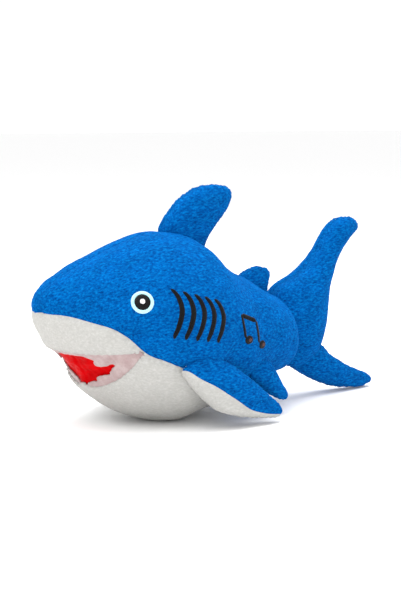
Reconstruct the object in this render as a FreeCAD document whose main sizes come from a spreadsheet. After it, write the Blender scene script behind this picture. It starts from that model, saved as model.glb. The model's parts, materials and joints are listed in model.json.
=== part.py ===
import FreeCAD, Part
import math
import os
import Sketcher
from FreeCAD import Placement, Rotation, Vector

# A stuffed plush shark, 300 mm long, resting on its belly.
# The nose points to -Y, the back to +Z, and the shark's left side to +X.
# The origin is the middle of the flat patch of belly that it rests on.

doc = FreeCAD.newDocument("PlushShark")
sheet = doc.addObject("Spreadsheet::Sheet", "Sizes")

# ---------------------------------------------------------------- the sheet

sheet_lines = []


def size(alias, value):
    """Write one driving dimension to the next line of the sheet."""
    sheet_lines.append(alias)
    line = len(sheet_lines)
    sheet.set("A%d" % line, alias)
    sheet.set("B%d" % line, str(value))
    sheet.setAlias("B%d" % line, alias)


def stations(prefix, keys, lines):
    """Write a table of cross-sections, one set of cells for each station."""
    for number, values in enumerate(lines):
        for key, value in zip(keys, values):
            size("%s%d_%s" % (prefix, number, key), value)
    size(prefix + "_count", len(lines))


def read(alias):
    """A value of the sheet as a number."""
    return float(getattr(sheet, alias))


# Fabric and clearances.
size("skin", 1.5)
size("gap", 0.15)
size("thread", 0.9)
size("reach", 160)

# The trunk's cross-sections: place along the body, top, bottom, half width.
stations("trunk", ("along", "top", "bottom", "half_width"), (
    (-101, 86, 76, 4.9),
    (-98, 91, 68, 11.4),
    (-90, 97, 56, 20),
    (-78, 103, 37, 31),
    (-60, 111, 22, 43),
    (-35, 121, 7.6, 53),
    (-5, 125.3, -0.8, 59),
    (18, 120, 3.2, 55.5),
    (34, 105, 5.5, 52.5),
    (48, 97, 11.4, 47.5),
    (62, 90.5, 17.5, 44),
    (82, 79.5, 22, 37.5),
    (94, 73, 25, 29),
    (100.5, 64, 34, 15),
))

# Sections of the fins that stand on the centre line:
# place along, height, half chord, half thickness, chord's lean above level.
FLAT_FIN = ("along", "height", "half_chord", "half_thick", "lean")
stations("dorsal", FLAT_FIN, (
    (14.5, 124.6, 16, 2.6, -24),
    (20, 129, 20.5, 8.5, -16),
    (27, 137.5, 22, 9.5, -9),
    (34.5, 145, 20.5, 8.5, -9),
    (41, 151.8, 16, 6, -9),
    (44.5, 156, 9.5, 3, -8),
))
stations("rear_dorsal", FLAT_FIN, (
    (80, 83.6, 10, 3, -31),
    (81, 90, 12, 5.5, -24),
    (83, 94, 10, 5, -20),
    (84.5, 96.8, 6.5, 3, -16),
))
stations("tail", FLAT_FIN, (
    (104, 54, 16, 8, 90),
    (110, 55.5, 27, 18, 95),
    (118, 58, 31, 21, 108),
    (130, 67, 28, 19, 112),
    (140, 82, 21.5, 15, 125),
    (147, 98.5, 13, 11.5, 140),
    (152, 110, 11.2, 10, 153),
    (158, 118, 11.4, 9, 158),
    (166, 124, 10.5, 7, 157),
    (171.5, 126.8, 6.5, 3.5, 153),
))
stations("lobe", FLAT_FIN, (
    (132, 25, 10, 4, 27),
    (138, 20.3, 13.5, 9, 42),
    (149, 15.6, 12, 10, 75),
    (163, 11.6, 10, 9, 78),
    (177, 8.2, 7.6, 8, 75),
    (188, 6.2, 5, 5, 70),
    (193, 5.4, 3, 3, 65),
))

# Sections of the left paired fins: side, along, height, half chord,
# half thickness, and the turns about Z, Y and X that set the section's plane.
PAIRED_FIN = ("side", "along", "height", "half_chord", "half_thick",
              "yaw", "pitch", "roll")
stations("pectoral", PAIRED_FIN, (
    (61.5, -6, 28, 18, 3, -8, 8, 104),
    (63, 4, 25.5, 20, 8, -9, 2, 92),
    (63.5, 22, 20.5, 18, 9, -6, -8, 78),
    (63, 36, 15.5, 14, 8.5, -4, -12, 72),
    (62, 47, 10.8, 9, 7, 0, -14, 66),
    (61.5, 53, 8.5, 5, 3.5, 0, -14, 62),
))
stations("pelvic", PAIRED_FIN, (
    (38.5, 54, 27, 10.5, 3, -30, 0, 25),
    (41, 61.5, 22, 11.5, 5.5, -25, 0, 38),
    (42.5, 69, 17, 10, 5, -20, 0, 45),
    (43, 75, 13, 6.5, 3, -15, 0, 50),
))

# The seam between the blue back and the white underside, in side view.
stations("seam", ("along", "height"), (
    (-106, 79),
    (-91, 78),
    (-79, 74),
    (-66, 68.5),
    (-59, 63),
    (-50, 54),
    (-35, 47),
    (-19, 39.5),
    (0, 28.5),
    (25, 18),
    (45, 15),
    (60, 17.6),
    (72, 16),
))

# The mouth: a wedge with its crease across the body from corner to corner.
size("crease_along", -50)
size("crease_height", 54)
size("jaw_angle", 54)
size("lining", 1.0)

# The teeth: the corner points of the scallops, in side view, from the front
# of the upper lip round the corner of the mouth to the lower lip.
size("teeth_from", 4)
stations("tooth", ("along", "height"), (
    (-86.0, 53.0),
    (-81.5, 51.8),
    (-75.5, 49.6),
    (-66, 46.5),
    (-67, 40.3),
    (-69.3, 34.8),
    (-70.5, 29.5),
))

# Embroidery on the flank.
size("eye_side", 43.8)
size("eye_along", -49.6)
size("eye_height", 86.4)
size("eye_ring", 7.9)
size("eye_disc", 5.9)
size("eye_spot", 2.0)
size("gill_count", 5)
size("gill_width", 2.7)
size("beam_width", 2.6)
size("stem_width", 1.9)
size("note_head", 3.1)

# The sound unit: centre of its back face, outer size, and what it holds.
# Inside the unit, "along" runs to the tail, "up" to the back.
size("unit_side", 21.1)
size("unit_along", 11.5)
size("unit_height", 60)
size("unit_length", 54)
size("unit_tall", 30)
size("unit_thick", 18)
size("unit_split", 8)
size("wall", 1.5)
size("seat_gap", 0.1)
size("post_along", 23.5)
size("post_up", 11.5)
size("post", 2.3)
size("screw", 1.0)
size("screw_length", 12)
size("speaker", 11)
size("speaker_along", -14.3)
size("magnet", 6)
size("button", 6)
size("button_along", 16.7)
size("button_proud", 2)
size("cell", 5.8)
size("cell_thick", 5.4)
size("cell_along", 3.0)
size("cell_pitch", 5.45)
size("door_from", -3.2)
size("door_to", 9.2)
size("door_half", 8.9)
size("tab_to", 13.6)
size("tab_half", 3.6)
size("tab_thick", 0.8)
size("tab_sink", 0.3)
size("tab_screw", 11.4)
size("board_low", 9)
size("board_thick", 1.2)
size("switch_along", -11)
size("switch_up", -9)
size("switch_travel", 3)
size("pouch_wall", 0.8)
size("pouch_gap", 0.6)

# The hook-and-loop closure in the belly.
size("closure_from", 30)
size("closure_to", 54)
size("closure_half_width", 6)
size("closure_thick", 1.0)

doc.recompute()

# ------------------------------------------------------------ small helpers

subparts = {}


def keep(shape_object, label):
    """Name an object as one of the shark's pieces."""
    shape_object.Label = label
    subparts[label] = shape_object
    return shape_object


def bind(target, **links):
    """Bind properties of an object to expressions on the sheet."""
    for name, expression in links.items():
        target.setExpression(name.replace("__", "."), expression)
    return target


def boolean(kind, name, base, tool):
    result = doc.addObject("Part::" + kind, name)
    result.Base = base
    result.Tool = tool
    return result


def join(name, pieces):
    result = doc.addObject("Part::MultiFuse", name)
    result.Shapes = pieces
    return result


def group(name, pieces):
    """Separate solids that share one piece's name."""
    result = doc.addObject("Part::Compound", name)
    result.Links = pieces
    return result


def mirror(source, label):
    """The right-hand twin of a left-hand piece."""
    twin = doc.addObject("Part::Mirroring", label)
    twin.Source = source
    twin.Normal = Vector(1, 0, 0)
    return keep(twin, label)


def box(name, low, high):
    """A box between two corners, each given as three expressions."""
    block = doc.addObject("Part::Box", name)
    for side, start, end in zip(("Length", "Width", "Height"), low, high):
        block.setExpression(side, "(%s) - (%s)" % (end, start))
    for axis, start in zip("xyz", low):
        block.setExpression("Placement.Base." + axis, start)
    return block


# A round outline of radius 1, scaled into every cross-section. It starts a
# little off the X axis, so that the lofts' own edges keep off the seam planes.
OVAL_POINTS = 16
OVAL_START = 0.3
oval_curve = Part.BSplineCurve()
oval_curve.interpolate(
    [Vector(math.cos(OVAL_START + 2 * math.pi * step / OVAL_POINTS),
            math.sin(OVAL_START + 2 * math.pi * step / OVAL_POINTS), 0)
     for step in range(OVAL_POINTS)],
    PeriodicFlag=True)
unit_oval = doc.addObject("Part::Feature", "UnitOval")
unit_oval.Shape = Part.Wire([oval_curve.toShape()])


def oval(name, half_x, half_y, centre, turns, inset):
    """One cross-section: the oval's half sizes, centre and turns are expressions."""
    section = doc.addObject("Part::Scale", name)
    section.Base = unit_oval
    section.Uniform = False
    section.setExpression("XScale", "%s - %s" % (half_x, inset))
    section.setExpression("YScale", "%s - %s" % (half_y, inset))
    section.Placement = Placement(Vector(), Rotation(*turns))
    for axis, expression in zip("xyz", centre):
        section.setExpression("Placement.Base." + axis, expression)
    return section


def loft(name, sections, ruled=False):
    result = doc.addObject("Part::Loft", name)
    result.Sections = sections
    result.Solid = True
    result.Ruled = ruled
    return result


def trunk_loft(name, inset):
    """The trunk's outer form, drawn in by an inset on every side."""
    sections = []
    last = int(read("trunk_count")) - 1
    shift = {0: "+ 1.0", 1: "+ 0.7", last - 1: "- 0.5", last: "- 1.0"}
    for number in range(last + 1):
        cell = "Sizes.trunk%d_" % number
        along = cell + "along"
        if number in shift:
            along += " %s * (%s)" % (shift[number], inset)
        half_height = "(%stop - %sbottom) / 2" % (cell, cell)
        middle = "(%stop + %sbottom) / 2" % (cell, cell)
        sections.append(oval(
            "%sSection%d" % (name, number), cell + "half_width", half_height,
            ("0", along, middle), (0, 0, 90), "(%s)" % inset))
    body = loft(name + "Loft", sections)
    below = box(name + "Below", ("-Sizes.reach", "-Sizes.reach", "-Sizes.reach"),
                ("Sizes.reach", "Sizes.reach", "max(%s; 0)" % inset))
    return boolean("Cut", name, body, below)


def side_arc(half_thick, half_chord, side):
    """Half of an oval: from its low end, round one side, to its high end."""
    curve = Part.BSplineCurve()
    curve.interpolate([
        Vector(side * half_thick * math.cos(angle), half_chord * math.sin(angle), 0)
        for angle in [math.pi * (step / 8 - 0.5) for step in range(9)]])
    return curve


def fin_stations(prefix):
    """Each section's place and its half thickness and half chord, from the sheet."""
    paired = hasattr(sheet, prefix + "0_yaw")
    for number in range(int(read(prefix + "_count"))):
        cell = "%s%d_" % (prefix, number)
        turns = (0, 0, read(cell + "lean")) if not paired else tuple(
            read(cell + turn) for turn in ("yaw", "pitch", "roll"))
        side = read(cell + "side") if paired else 0
        place = Placement(Vector(side, read(cell + "along"), read(cell + "height")),
                          Rotation(*turns))
        yield place, read(cell + "half_thick"), read(cell + "half_chord")


def fin_loft(name, prefix, outline):
    """Carry an outline, drawn for each station, from a fin's root to its tip."""
    sections = []
    for number, (place, half_thick, half_chord) in enumerate(fin_stations(prefix)):
        section = doc.addObject("Part::Feature", "%sSection%d" % (name, number))
        section.Shape = Part.Wire(outline(half_thick, half_chord))
        section.Placement = place
        sections.append(section)
    return loft(name, sections, ruled=True)


def fin_fabric(name, prefix, side):
    """One fabric side of a fin: a curved sheet from edge seam to edge seam."""
    def outline(half_thick, half_chord):
        skin = read("skin")
        outer = side_arc(half_thick, half_chord, side)
        inner = side_arc(half_thick - skin, half_chord - skin, side)
        ends = [Part.LineSegment(outer.EndPoint, inner.EndPoint).toShape(),
                Part.LineSegment(inner.StartPoint, outer.StartPoint).toShape()]
        return [outer.toShape(), ends[0], inner.toShape(), ends[1]]
    return fin_loft(name, prefix, outline)


def fin_filling(name, prefix):
    """The stuffing that a fin's fabric closes round."""
    def outline(half_thick, half_chord):
        inset = read("skin") + read("gap")
        return [side_arc(half_thick - inset, half_chord - inset, side).toShape()
                for side in (1, -1)]
    return fin_loft(name, prefix, outline)


def prism(name, outline, start, end):
    """A side-view outline carried across the body from one X to another."""
    face = doc.addObject("Part::Feature", name + "Outline")
    face.Shape = Part.Face(Part.Wire(outline))
    solid = doc.addObject("Part::Extrusion", name)
    solid.Base = face
    solid.Dir = Vector(1, 0, 0)
    solid.Solid = True
    solid.setExpression("LengthFwd", end)
    solid.setExpression("LengthRev", "-(%s)" % start)
    return solid


def side_point(along, height):
    return Vector(0, along, height)


def lines_through(points):
    """Straight edges from point to point."""
    return [Part.LineSegment(a, b).toShape() for a, b in zip(points, points[1:])]


LEFT = ("0", "Sizes.reach")
BOTH = ("-Sizes.reach", "Sizes.reach")

# ------------------------------------------------------------ trunk panels

trunk_outer = trunk_loft("TrunkOuter", "0")
trunk_inner = trunk_loft("TrunkInner", "Sizes.skin")
trunk_core = trunk_loft("TrunkCore", "Sizes.skin + Sizes.gap")
trunk_skin = boolean("Cut", "TrunkSkin", trunk_outer, trunk_inner)


def seam_outline(rise):
    """The region above the flank seam, or below it when rise is negative."""
    points = [side_point(read("seam%d_along" % number), read("seam%d_height" % number))
              for number in range(int(read("seam_count")))]
    curve = Part.BSplineCurve()
    curve.interpolate(points)
    reach = read("reach") * rise
    far = [points[-1], side_point(points[-1].y, 0), side_point(read("reach"), 0),
           side_point(read("reach"), reach), side_point(-read("reach"), reach),
           side_point(-read("reach"), points[0].z), points[0]]
    if rise < 0:
        far = [points[-1], side_point(points[-1].y, reach),
               side_point(-read("reach"), reach),
               side_point(-read("reach"), points[0].z), points[0]]
    return [curve.toShape()] + lines_through(far)


def mouth_outline(offset):
    """The wedge of the open mouth, grown outward by an offset."""
    angle = math.radians(read("jaw_angle"))
    # The jaw's face runs forward and down from the crease at the jaw angle.
    forward = Vector(0, -math.cos(angle), -math.sin(angle))
    slide = offset * (1 + math.cos(angle)) / math.sin(angle)
    crease = side_point(read("crease_along") + slide, read("crease_height") + offset)
    reach = read("reach")
    corners = [crease, side_point(-reach, crease.z),
               crease + forward * reach, crease]
    return lines_through(corners)


mouth_cut = prism("MouthCut", mouth_outline(0), *BOTH)
mouth_lining_cut = prism("LiningCut", mouth_outline(read("lining")), *BOTH)
mouth_core_cut = prism(
    "MouthCoreCut", mouth_outline(read("lining") + read("gap")), *BOTH)

above_seam = prism("AboveSeam", seam_outline(1), *LEFT)
below_seam = prism("BelowSeam", seam_outline(-1), *BOTH)
side_left = keep(
    boolean("Common", "SideLeft", trunk_skin, above_seam), "side_panel_left")
mirror(side_left, "side_panel_right")

white_skin = boolean("Common", "WhiteSkin", trunk_skin, below_seam)
over_crease = box("OverCrease", ("-Sizes.reach", "-Sizes.reach", "Sizes.crease_height"),
                  ("Sizes.reach", "Sizes.reach", "Sizes.reach"))
keep(boolean("Common", "Snout", white_skin, over_crease), "snout_panel")
white_under = boolean("Cut", "WhiteUnder", white_skin, over_crease)
keep(boolean("Cut", "Belly", white_under, mouth_cut), "belly_panel")

lining_block = boolean("Common", "LiningBlock", trunk_core, mouth_lining_cut)
keep(boolean("Cut", "Lining", lining_block, mouth_cut), "mouth_lining")


def teeth_outline():
    """Scallops on one side and the two lips on the other."""
    points = [side_point(read("tooth%d_along" % number), read("tooth%d_height" % number))
              for number in range(int(read("tooth_count")))]
    edges = []
    for a, b in zip(points, points[1:]):
        middle = (a + b) / 2
        along = (b - a).normalize()
        bulge = along.cross(Vector(1, 0, 0)) * (a - b).Length * 0.2
        edges.append(Part.Arc(a, middle + bulge, b).toShape())
    gap = read("gap")
    angle = math.radians(read("jaw_angle"))
    crease = side_point(read("crease_along") - gap * (1 + math.cos(angle)) / math.sin(angle),
                        read("crease_height") - gap)
    # Where the last scallop meets the lower lip, and the first the upper lip.
    drop = crease.z - points[-1].z
    lower = side_point(crease.y - drop / math.tan(angle), points[-1].z)
    upper = side_point(points[0].y, crease.z)
    return edges + lines_through([points[-1], lower, crease, upper, points[0]])


teeth_left = keep(boolean("Common", "Teeth", trunk_skin,
                          prism("TeethCut", teeth_outline(), "Sizes.teeth_from", "Sizes.reach")), "teeth_left")
mirror(teeth_left, "teeth_right")

# ---------------------------------------------------------------- stitching

stitch_outer = trunk_loft("StitchOuter", "-Sizes.thread")
stitch_inner = trunk_loft("StitchInner", "-0.05")
stitch_layer = boolean("Cut", "StitchLayer", stitch_outer, stitch_inner)

EYE_NORMAL = Vector(0.85, -0.34, 0.41)


def eye_cylinder(name, radius):
    """A cylinder through the eye along the flank's own normal."""
    peg = doc.addObject("Part::Cylinder", name)
    bind(peg, Radius=radius, Height="24",
         Placement__Base__x="Sizes.eye_side - 12 * %f" % EYE_NORMAL.x,
         Placement__Base__y="Sizes.eye_along - 12 * (%f)" % EYE_NORMAL.y,
         Placement__Base__z="Sizes.eye_height - 12 * %f" % EYE_NORMAL.z)
    peg.Placement.Rotation = Rotation(Vector(0, 0, 1), EYE_NORMAL)
    return peg


def eye_piece(name, label, outer, inner):
    """A ring or a disc of satin stitch, and its twin on the right."""
    cutter = eye_cylinder(name + "Peg", outer)
    if inner:
        cutter = boolean("Cut", name + "Ring", cutter, eye_cylinder(name + "Hole", inner))
    piece = keep(boolean("Common", name, stitch_layer, cutter), label + "_left")
    mirror(piece, label + "_right")


eye_piece("EyeRing", "eye_outline", "Sizes.eye_ring", "Sizes.eye_disc + 0.05")
eye_piece("EyeDisc", "eye_disc", "Sizes.eye_disc", "Sizes.eye_spot + 0.05")
eye_piece("EyeSpot", "eye_highlight", "Sizes.eye_spot", None)


def gill_outline(number):
    """A bowed stroke: fine at the top, full at the middle and the bottom."""
    top = side_point(-29.8 + 7.4 * number, 92.3 - 1.6 * number)
    middle = side_point(-26.5 + 7.8 * number, 79.6 - 1.4 * number)
    bottom = side_point(-33.5 + 8.0 * number, 63.2 - 1.2 * number)
    half = read("gill_width") / 2
    fine = side_point(0.3 * half, 0)
    full = side_point(half, 0)
    back = Part.Arc(top + fine, middle + full, bottom + full).toShape()
    front = Part.Arc(bottom - full, middle - full, top - fine).toShape()
    return [back] + lines_through([bottom + full, bottom - full]) + [front] + \
        lines_through([top - fine, top + fine])


gills = group("GillCuts", [prism("GillCut%d" % number, gill_outline(number), *LEFT)
                           for number in range(int(read("gill_count")))])
gills_left = keep(
    boolean("Common", "Gills", stitch_layer, gills), "gill_stitching_left")
mirror(gills_left, "gill_stitching_right")


def stroke_outline(start, end, width):
    """A straight bar of stitching between two side-view points."""
    across = (end - start).cross(Vector(1, 0, 0)).normalize() * (width / 2)
    return lines_through([start + across, end + across, end - across,
                          start - across, start + across])


def head_outline(centre):
    """A round note head, as two arcs."""
    radius = read("note_head")
    ends = (centre + side_point(0, radius), centre - side_point(0, radius))
    return [Part.Arc(ends[0], centre + side_point(radius, 0), ends[1]).toShape(),
            Part.Arc(ends[1], centre - side_point(radius, 0), ends[0]).toShape()]


BEAM = (side_point(22.4, 73.0), side_point(37.4, 67.6))
STEM_FEET = (side_point(25.2, 57.0), side_point(40.4, 51.6))
HEADS = (side_point(28.0, 56.2), side_point(43.3, 51.0))
note_strokes = [prism("BeamCut", stroke_outline(*BEAM, read("beam_width")), *LEFT)]
for number in range(2):
    stem = stroke_outline(BEAM[number], STEM_FEET[number], read("stem_width"))
    note_strokes.append(prism("StemCut%d" % number, stem, *LEFT))
    note_strokes.append(prism("HeadCut%d" % number, head_outline(HEADS[number]), *LEFT))
keep(join("Note", [boolean("Common", stroke.Name + "Stitch", stitch_layer, stroke)
                   for stroke in note_strokes]), "music_note_stitching")

# ------------------------------------------------- sound unit in the flank

UNIT_TURN = Rotation(Vector(0, 1, 0), Vector(0, 0, 1), Vector(1, 0, 0), "ZXY")


def seat(piece):
    """Place a piece drawn flat, front face up, into the flank of the shark."""
    piece.Placement = Placement(Vector(), UNIT_TURN)
    for axis, cell in zip("xyz", ("side", "along", "height")):
        piece.setExpression("Placement.Base." + axis, "Sizes.unit_" + cell)
    return piece


def origin_plane(body, role):
    return [plane for plane in body.Origin.OriginFeatures if plane.Role == role][0]


def part_body(name, label):
    body = doc.addObject("PartDesign::Body", name)
    return keep(body, label)


def sketch_on(body, name, lift="0"):
    sketch = body.newObject("Sketcher::SketchObject", name)
    sketch.AttachmentSupport = (origin_plane(body, "XY_Plane"), [""])
    sketch.MapMode = "FlatFace"
    sketch.setExpression("AttachmentOffset.Base.z", lift)
    return sketch


def add_rectangle(sketch, tag, half_x, half_y, at_x="0", at_y="0"):
    """A rectangle held by four bound distances from the sketch's axes."""
    first = sketch.GeometryCount
    corners = [Vector(-1, -1), Vector(1, -1), Vector(1, 1), Vector(-1, 1)]
    for a, b in zip(corners, corners[1:] + corners[:1]):
        sketch.addGeometry(Part.LineSegment(a, b), False)
    for step in range(4):
        sketch.addConstraint(Sketcher.Constraint(
            "Coincident", first + step, 2, first + (step + 1) % 4, 1))
    for step, kind in enumerate(("Horizontal", "Vertical", "Horizontal", "Vertical")):
        sketch.addConstraint(Sketcher.Constraint(kind, first + step))
    spans = (("DistanceX", 1, "right", "(%s) + (%s)" % (at_x, half_x)),
             ("DistanceY", 2, "top", "(%s) + (%s)" % (at_y, half_y)),
             ("DistanceX", 3, "left", "(%s) - (%s)" % (at_x, half_x)),
             ("DistanceY", 0, "low", "(%s) - (%s)" % (at_y, half_y)))
    for kind, edge, side, expression in spans:
        index = sketch.addConstraint(Sketcher.Constraint(kind, -1, 1, first + edge, 1, 1.0))
        sketch.renameConstraint(index, tag + side)
        sketch.setExpression("Constraints." + tag + side, expression)


def add_circle(sketch, tag, radius, at_x="0", at_y="0"):
    """A circle held by its radius and its centre's two distances."""
    edge = sketch.addGeometry(Part.Circle(Vector(1, 1), Vector(0, 0, 1), 1), False)
    for kind, side, expression in (("DistanceX", "along", at_x),
                                   ("DistanceY", "up", at_y)):
        index = sketch.addConstraint(Sketcher.Constraint(kind, -1, 1, edge, 3, 1.0))
        sketch.renameConstraint(index, tag + side)
        sketch.setExpression("Constraints." + tag + side, expression)
    index = sketch.addConstraint(Sketcher.Constraint("Radius", edge, 1.0))
    sketch.renameConstraint(index, tag + "radius")
    sketch.setExpression("Constraints." + tag + "radius", radius)


def pad(body, name, sketch, length, upward=True):
    feature = body.newObject("PartDesign::Pad", name)
    feature.Profile = sketch
    feature.Reversed = not upward
    feature.setExpression("Length", length)
    return feature


def pocket(body, name, sketch, length, upward=False):
    feature = body.newObject("PartDesign::Pocket", name)
    feature.Profile = sketch
    feature.Reversed = upward
    feature.setExpression("Length", length)
    return feature


HALF_LENGTH = "Sizes.unit_length / 2"
HALF_TALL = "Sizes.unit_tall / 2"
POSTS = [(a, b) for a in ("-Sizes.post_along", "Sizes.post_along")
         for b in ("-Sizes.post_up", "Sizes.post_up")]


def add_posts(sketch, tag, radius):
    for number, (along, up) in enumerate(POSTS):
        add_circle(sketch, "%s%d" % (tag, number), radius, along, up)


def front_cover():
    """The half with the speaker grille and the button's hole."""
    body = part_body("FrontCover", "module_front_cover")
    shell = sketch_on(body, "FrontOutline", "Sizes.unit_split")
    add_rectangle(shell, "outer", HALF_LENGTH, HALF_TALL)
    pad(body, "FrontShell", shell, "Sizes.unit_thick - Sizes.unit_split")
    inside = sketch_on(body, "FrontInside", "Sizes.unit_split")
    add_rectangle(inside, "inner", HALF_LENGTH + " - Sizes.wall",
                  HALF_TALL + " - Sizes.wall")
    pocket(body, "FrontHollow", inside,
           "Sizes.unit_thick - Sizes.unit_split - Sizes.wall", upward=True)
    posts = sketch_on(body, "FrontPostSketch", "Sizes.unit_split")
    add_posts(posts, "post", "Sizes.post")
    pad(body, "FrontPosts", posts, "Sizes.unit_thick - Sizes.unit_split - 0.5")
    bores = sketch_on(body, "FrontBoreSketch", "Sizes.unit_split")
    add_posts(bores, "bore", "Sizes.screw + 0.05")
    pocket(body, "FrontBores", bores, "Sizes.screw_length - 5", upward=True)
    holes = sketch_on(body, "FrontHoleSketch", "Sizes.unit_thick")
    add_circle(holes, "button", "Sizes.button + 0.3", "Sizes.button_along")
    for ring, count in ((0, 1), (3.2, 6), (6.4, 12)):
        for step in range(count):
            angle = 2 * math.pi * step / count
            add_circle(holes, "grille%d_%d" % (count, step), "0.8",
                       "Sizes.speaker_along + %.3f" % (ring * math.cos(angle)),
                       "%.3f" % (ring * math.sin(angle)))
    pocket(body, "FrontHoles", holes, "Sizes.wall + 0.2")
    return seat(body)


def back_cover():
    """The half with the battery opening and the switch's slot."""
    body = part_body("BackCover", "module_back_cover")
    outline = sketch_on(body, "BackOutline")
    add_rectangle(outline, "outer", HALF_LENGTH, HALF_TALL)
    pad(body, "BackShell", outline, "Sizes.unit_split - Sizes.seat_gap")
    inside = sketch_on(body, "BackInside", "Sizes.wall")
    add_rectangle(inside, "inner", HALF_LENGTH + " - Sizes.wall",
                  HALF_TALL + " - Sizes.wall")
    pocket(body, "BackHollow", inside, "Sizes.unit_split", upward=True)
    posts = sketch_on(body, "BackPostSketch", "Sizes.wall / 2")
    add_posts(posts, "post", "Sizes.post")
    pad(body, "BackPosts", posts,
        "Sizes.unit_split - Sizes.seat_gap - Sizes.wall / 2")
    tab_post = sketch_on(body, "TabPostSketch", "Sizes.wall / 2")
    add_circle(tab_post, "tab", "Sizes.post - 0.1", "Sizes.tab_screw")
    pad(body, "TabPost", tab_post, "5")
    bores = sketch_on(body, "BackBoreSketch")
    add_posts(bores, "bore", "Sizes.screw + 0.2")
    add_circle(bores, "tabbore", "Sizes.screw + 0.05", "Sizes.tab_screw")
    pocket(body, "BackBores", bores, "Sizes.unit_split", upward=True)
    heads = sketch_on(body, "HeadSketch")
    add_posts(heads, "head", "Sizes.screw + 1.05")
    pocket(body, "HeadSinks", heads, "1.2", upward=True)
    opening = sketch_on(body, "OpeningSketch")
    add_rectangle(opening, "door", "(Sizes.door_to - Sizes.door_from) / 2",
                  "Sizes.door_half", "(Sizes.door_to + Sizes.door_from) / 2")
    add_rectangle(opening, "slot", "Sizes.switch_travel / 2 + 2.3", "1.6",
                  "Sizes.switch_along", "Sizes.switch_up")
    pocket(body, "Openings", opening, "Sizes.wall", upward=True)
    recess = sketch_on(body, "RecessSketch")
    add_rectangle(recess, "tab", "(Sizes.tab_to - Sizes.door_to) / 2 + 0.5",
                  "Sizes.tab_half + Sizes.seat_gap",
                  "(Sizes.tab_to + Sizes.door_to) / 2 - 0.3")
    pocket(body, "TabRecess", recess, "Sizes.tab_sink + Sizes.tab_thick + 0.05", upward=True)
    return seat(body)


front_cover()
back_cover()


def cylinder(name, radius, low, high, along="0", up="0"):
    """A cylinder standing across the unit between two levels."""
    return bind(doc.addObject("Part::Cylinder", name), Radius=radius,
                Height="(%s) - (%s)" % (high, low), Placement__Base__x=along,
                Placement__Base__y=up, Placement__Base__z=low)


def cone(name, low_radius, high_radius, low, high, along):
    return bind(doc.addObject("Part::Cone", name), Radius1=low_radius,
                Radius2=high_radius, Height="(%s) - (%s)" % (high, low),
                Placement__Base__x=along, Placement__Base__z=low)


def flat_box(name, centre, half, low, high):
    """A box across the unit: centre and half sizes in plan, and two levels."""
    lows = ["(%s) - (%s)" % pair for pair in zip(centre, half)] + [low]
    highs = ["(%s) + (%s)" % pair for pair in zip(centre, half)] + [high]
    return box(name, lows, highs)


def settle(name, label, pieces):
    """Gather finished solids into one named piece and seat it in the unit."""
    return seat(keep(group(name, pieces), label))


def machine_screw(name, low, length, along, up):
    head = cylinder(name + "Head", "Sizes.screw + 1", low, "(%s) + 0.8" % low, along, up)
    shank = cylinder(name + "Shank", "Sizes.screw", "(%s) + 0.7" % low,
                     "(%s) + %s" % (low, length), along, up)
    return join(name, [head, shank])


door_plate = flat_box(
    "DoorPlate", ("(Sizes.door_to + Sizes.door_from) / 2", "0"),
    ("(Sizes.door_to - Sizes.door_from) / 2 - Sizes.seat_gap",
     "Sizes.door_half - Sizes.seat_gap"), "0", "Sizes.wall")
door_tab = flat_box(
    "DoorTab", ("(Sizes.tab_to + Sizes.door_to) / 2 - 0.5", "0"),
    ("(Sizes.tab_to - Sizes.door_to) / 2 + 0.5", "Sizes.tab_half"),
    "Sizes.tab_sink", "Sizes.tab_sink + Sizes.tab_thick")
tab_hole = cylinder("TabHole", "Sizes.screw + 0.1", "-1", "3", "Sizes.tab_screw")
settle("Door", "battery_door", [
    boolean("Cut", "DoorDrilled", join("DoorBlank", [door_plate, door_tab]), tab_hole)])
settle("DoorScrew", "battery_door_screw", [
    machine_screw("TabScrew", "Sizes.tab_sink - 0.82", "4.5", "Sizes.tab_screw", "0")])
settle("HousingScrews", "housing_screws", [
    machine_screw("CornerScrew%d" % number, "0.3", "Sizes.screw_length", along, up)
    for number, (along, up) in enumerate(POSTS)])

BOARD_TOP = "Sizes.board_low + Sizes.board_thick"
board = flat_box("Board", ("15.3", "0"), ("5.6", "Sizes.unit_tall / 2 - 1.8"),
                 "Sizes.board_low", BOARD_TOP)
chip = flat_box("Chip", ("13", "8.5"), ("2.4", "2"), BOARD_TOP, BOARD_TOP + " + 1.1")
contact = flat_box("ButtonContact", ("Sizes.button_along", "0"), ("1.8", "1.8"),
                   BOARD_TOP, BOARD_TOP + " + 0.6")
settle("CircuitBoard", "circuit_board", [join("BoardParts", [board, chip, contact])])

settle("Cells", "button_cells", [
    bind(doc.addObject("Part::Cylinder", "Cell%d" % number),
         Radius="Sizes.cell", Height="Sizes.cell_thick",
         Placement__Base__x="Sizes.cell_along",
         Placement__Base__y="Sizes.cell_pitch * %d + Sizes.cell_thick / 2" % (number - 1),
         Placement__Base__z="Sizes.wall + Sizes.cell + 0.2")
    for number in range(3)])
for number in range(3):
    doc.getObject("Cell%d" % number).Placement.Rotation = Rotation(Vector(1, 0, 0), 90)
settle("Contacts", "battery_contacts", [
    flat_box("Contact%d" % number,
             ("Sizes.cell_along", "%d * (Sizes.cell_pitch * 1.5 + 0.3)" % side),
             ("3", "0.15"), "3", "12")
    for number, side in enumerate((-1, 1))])

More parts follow.
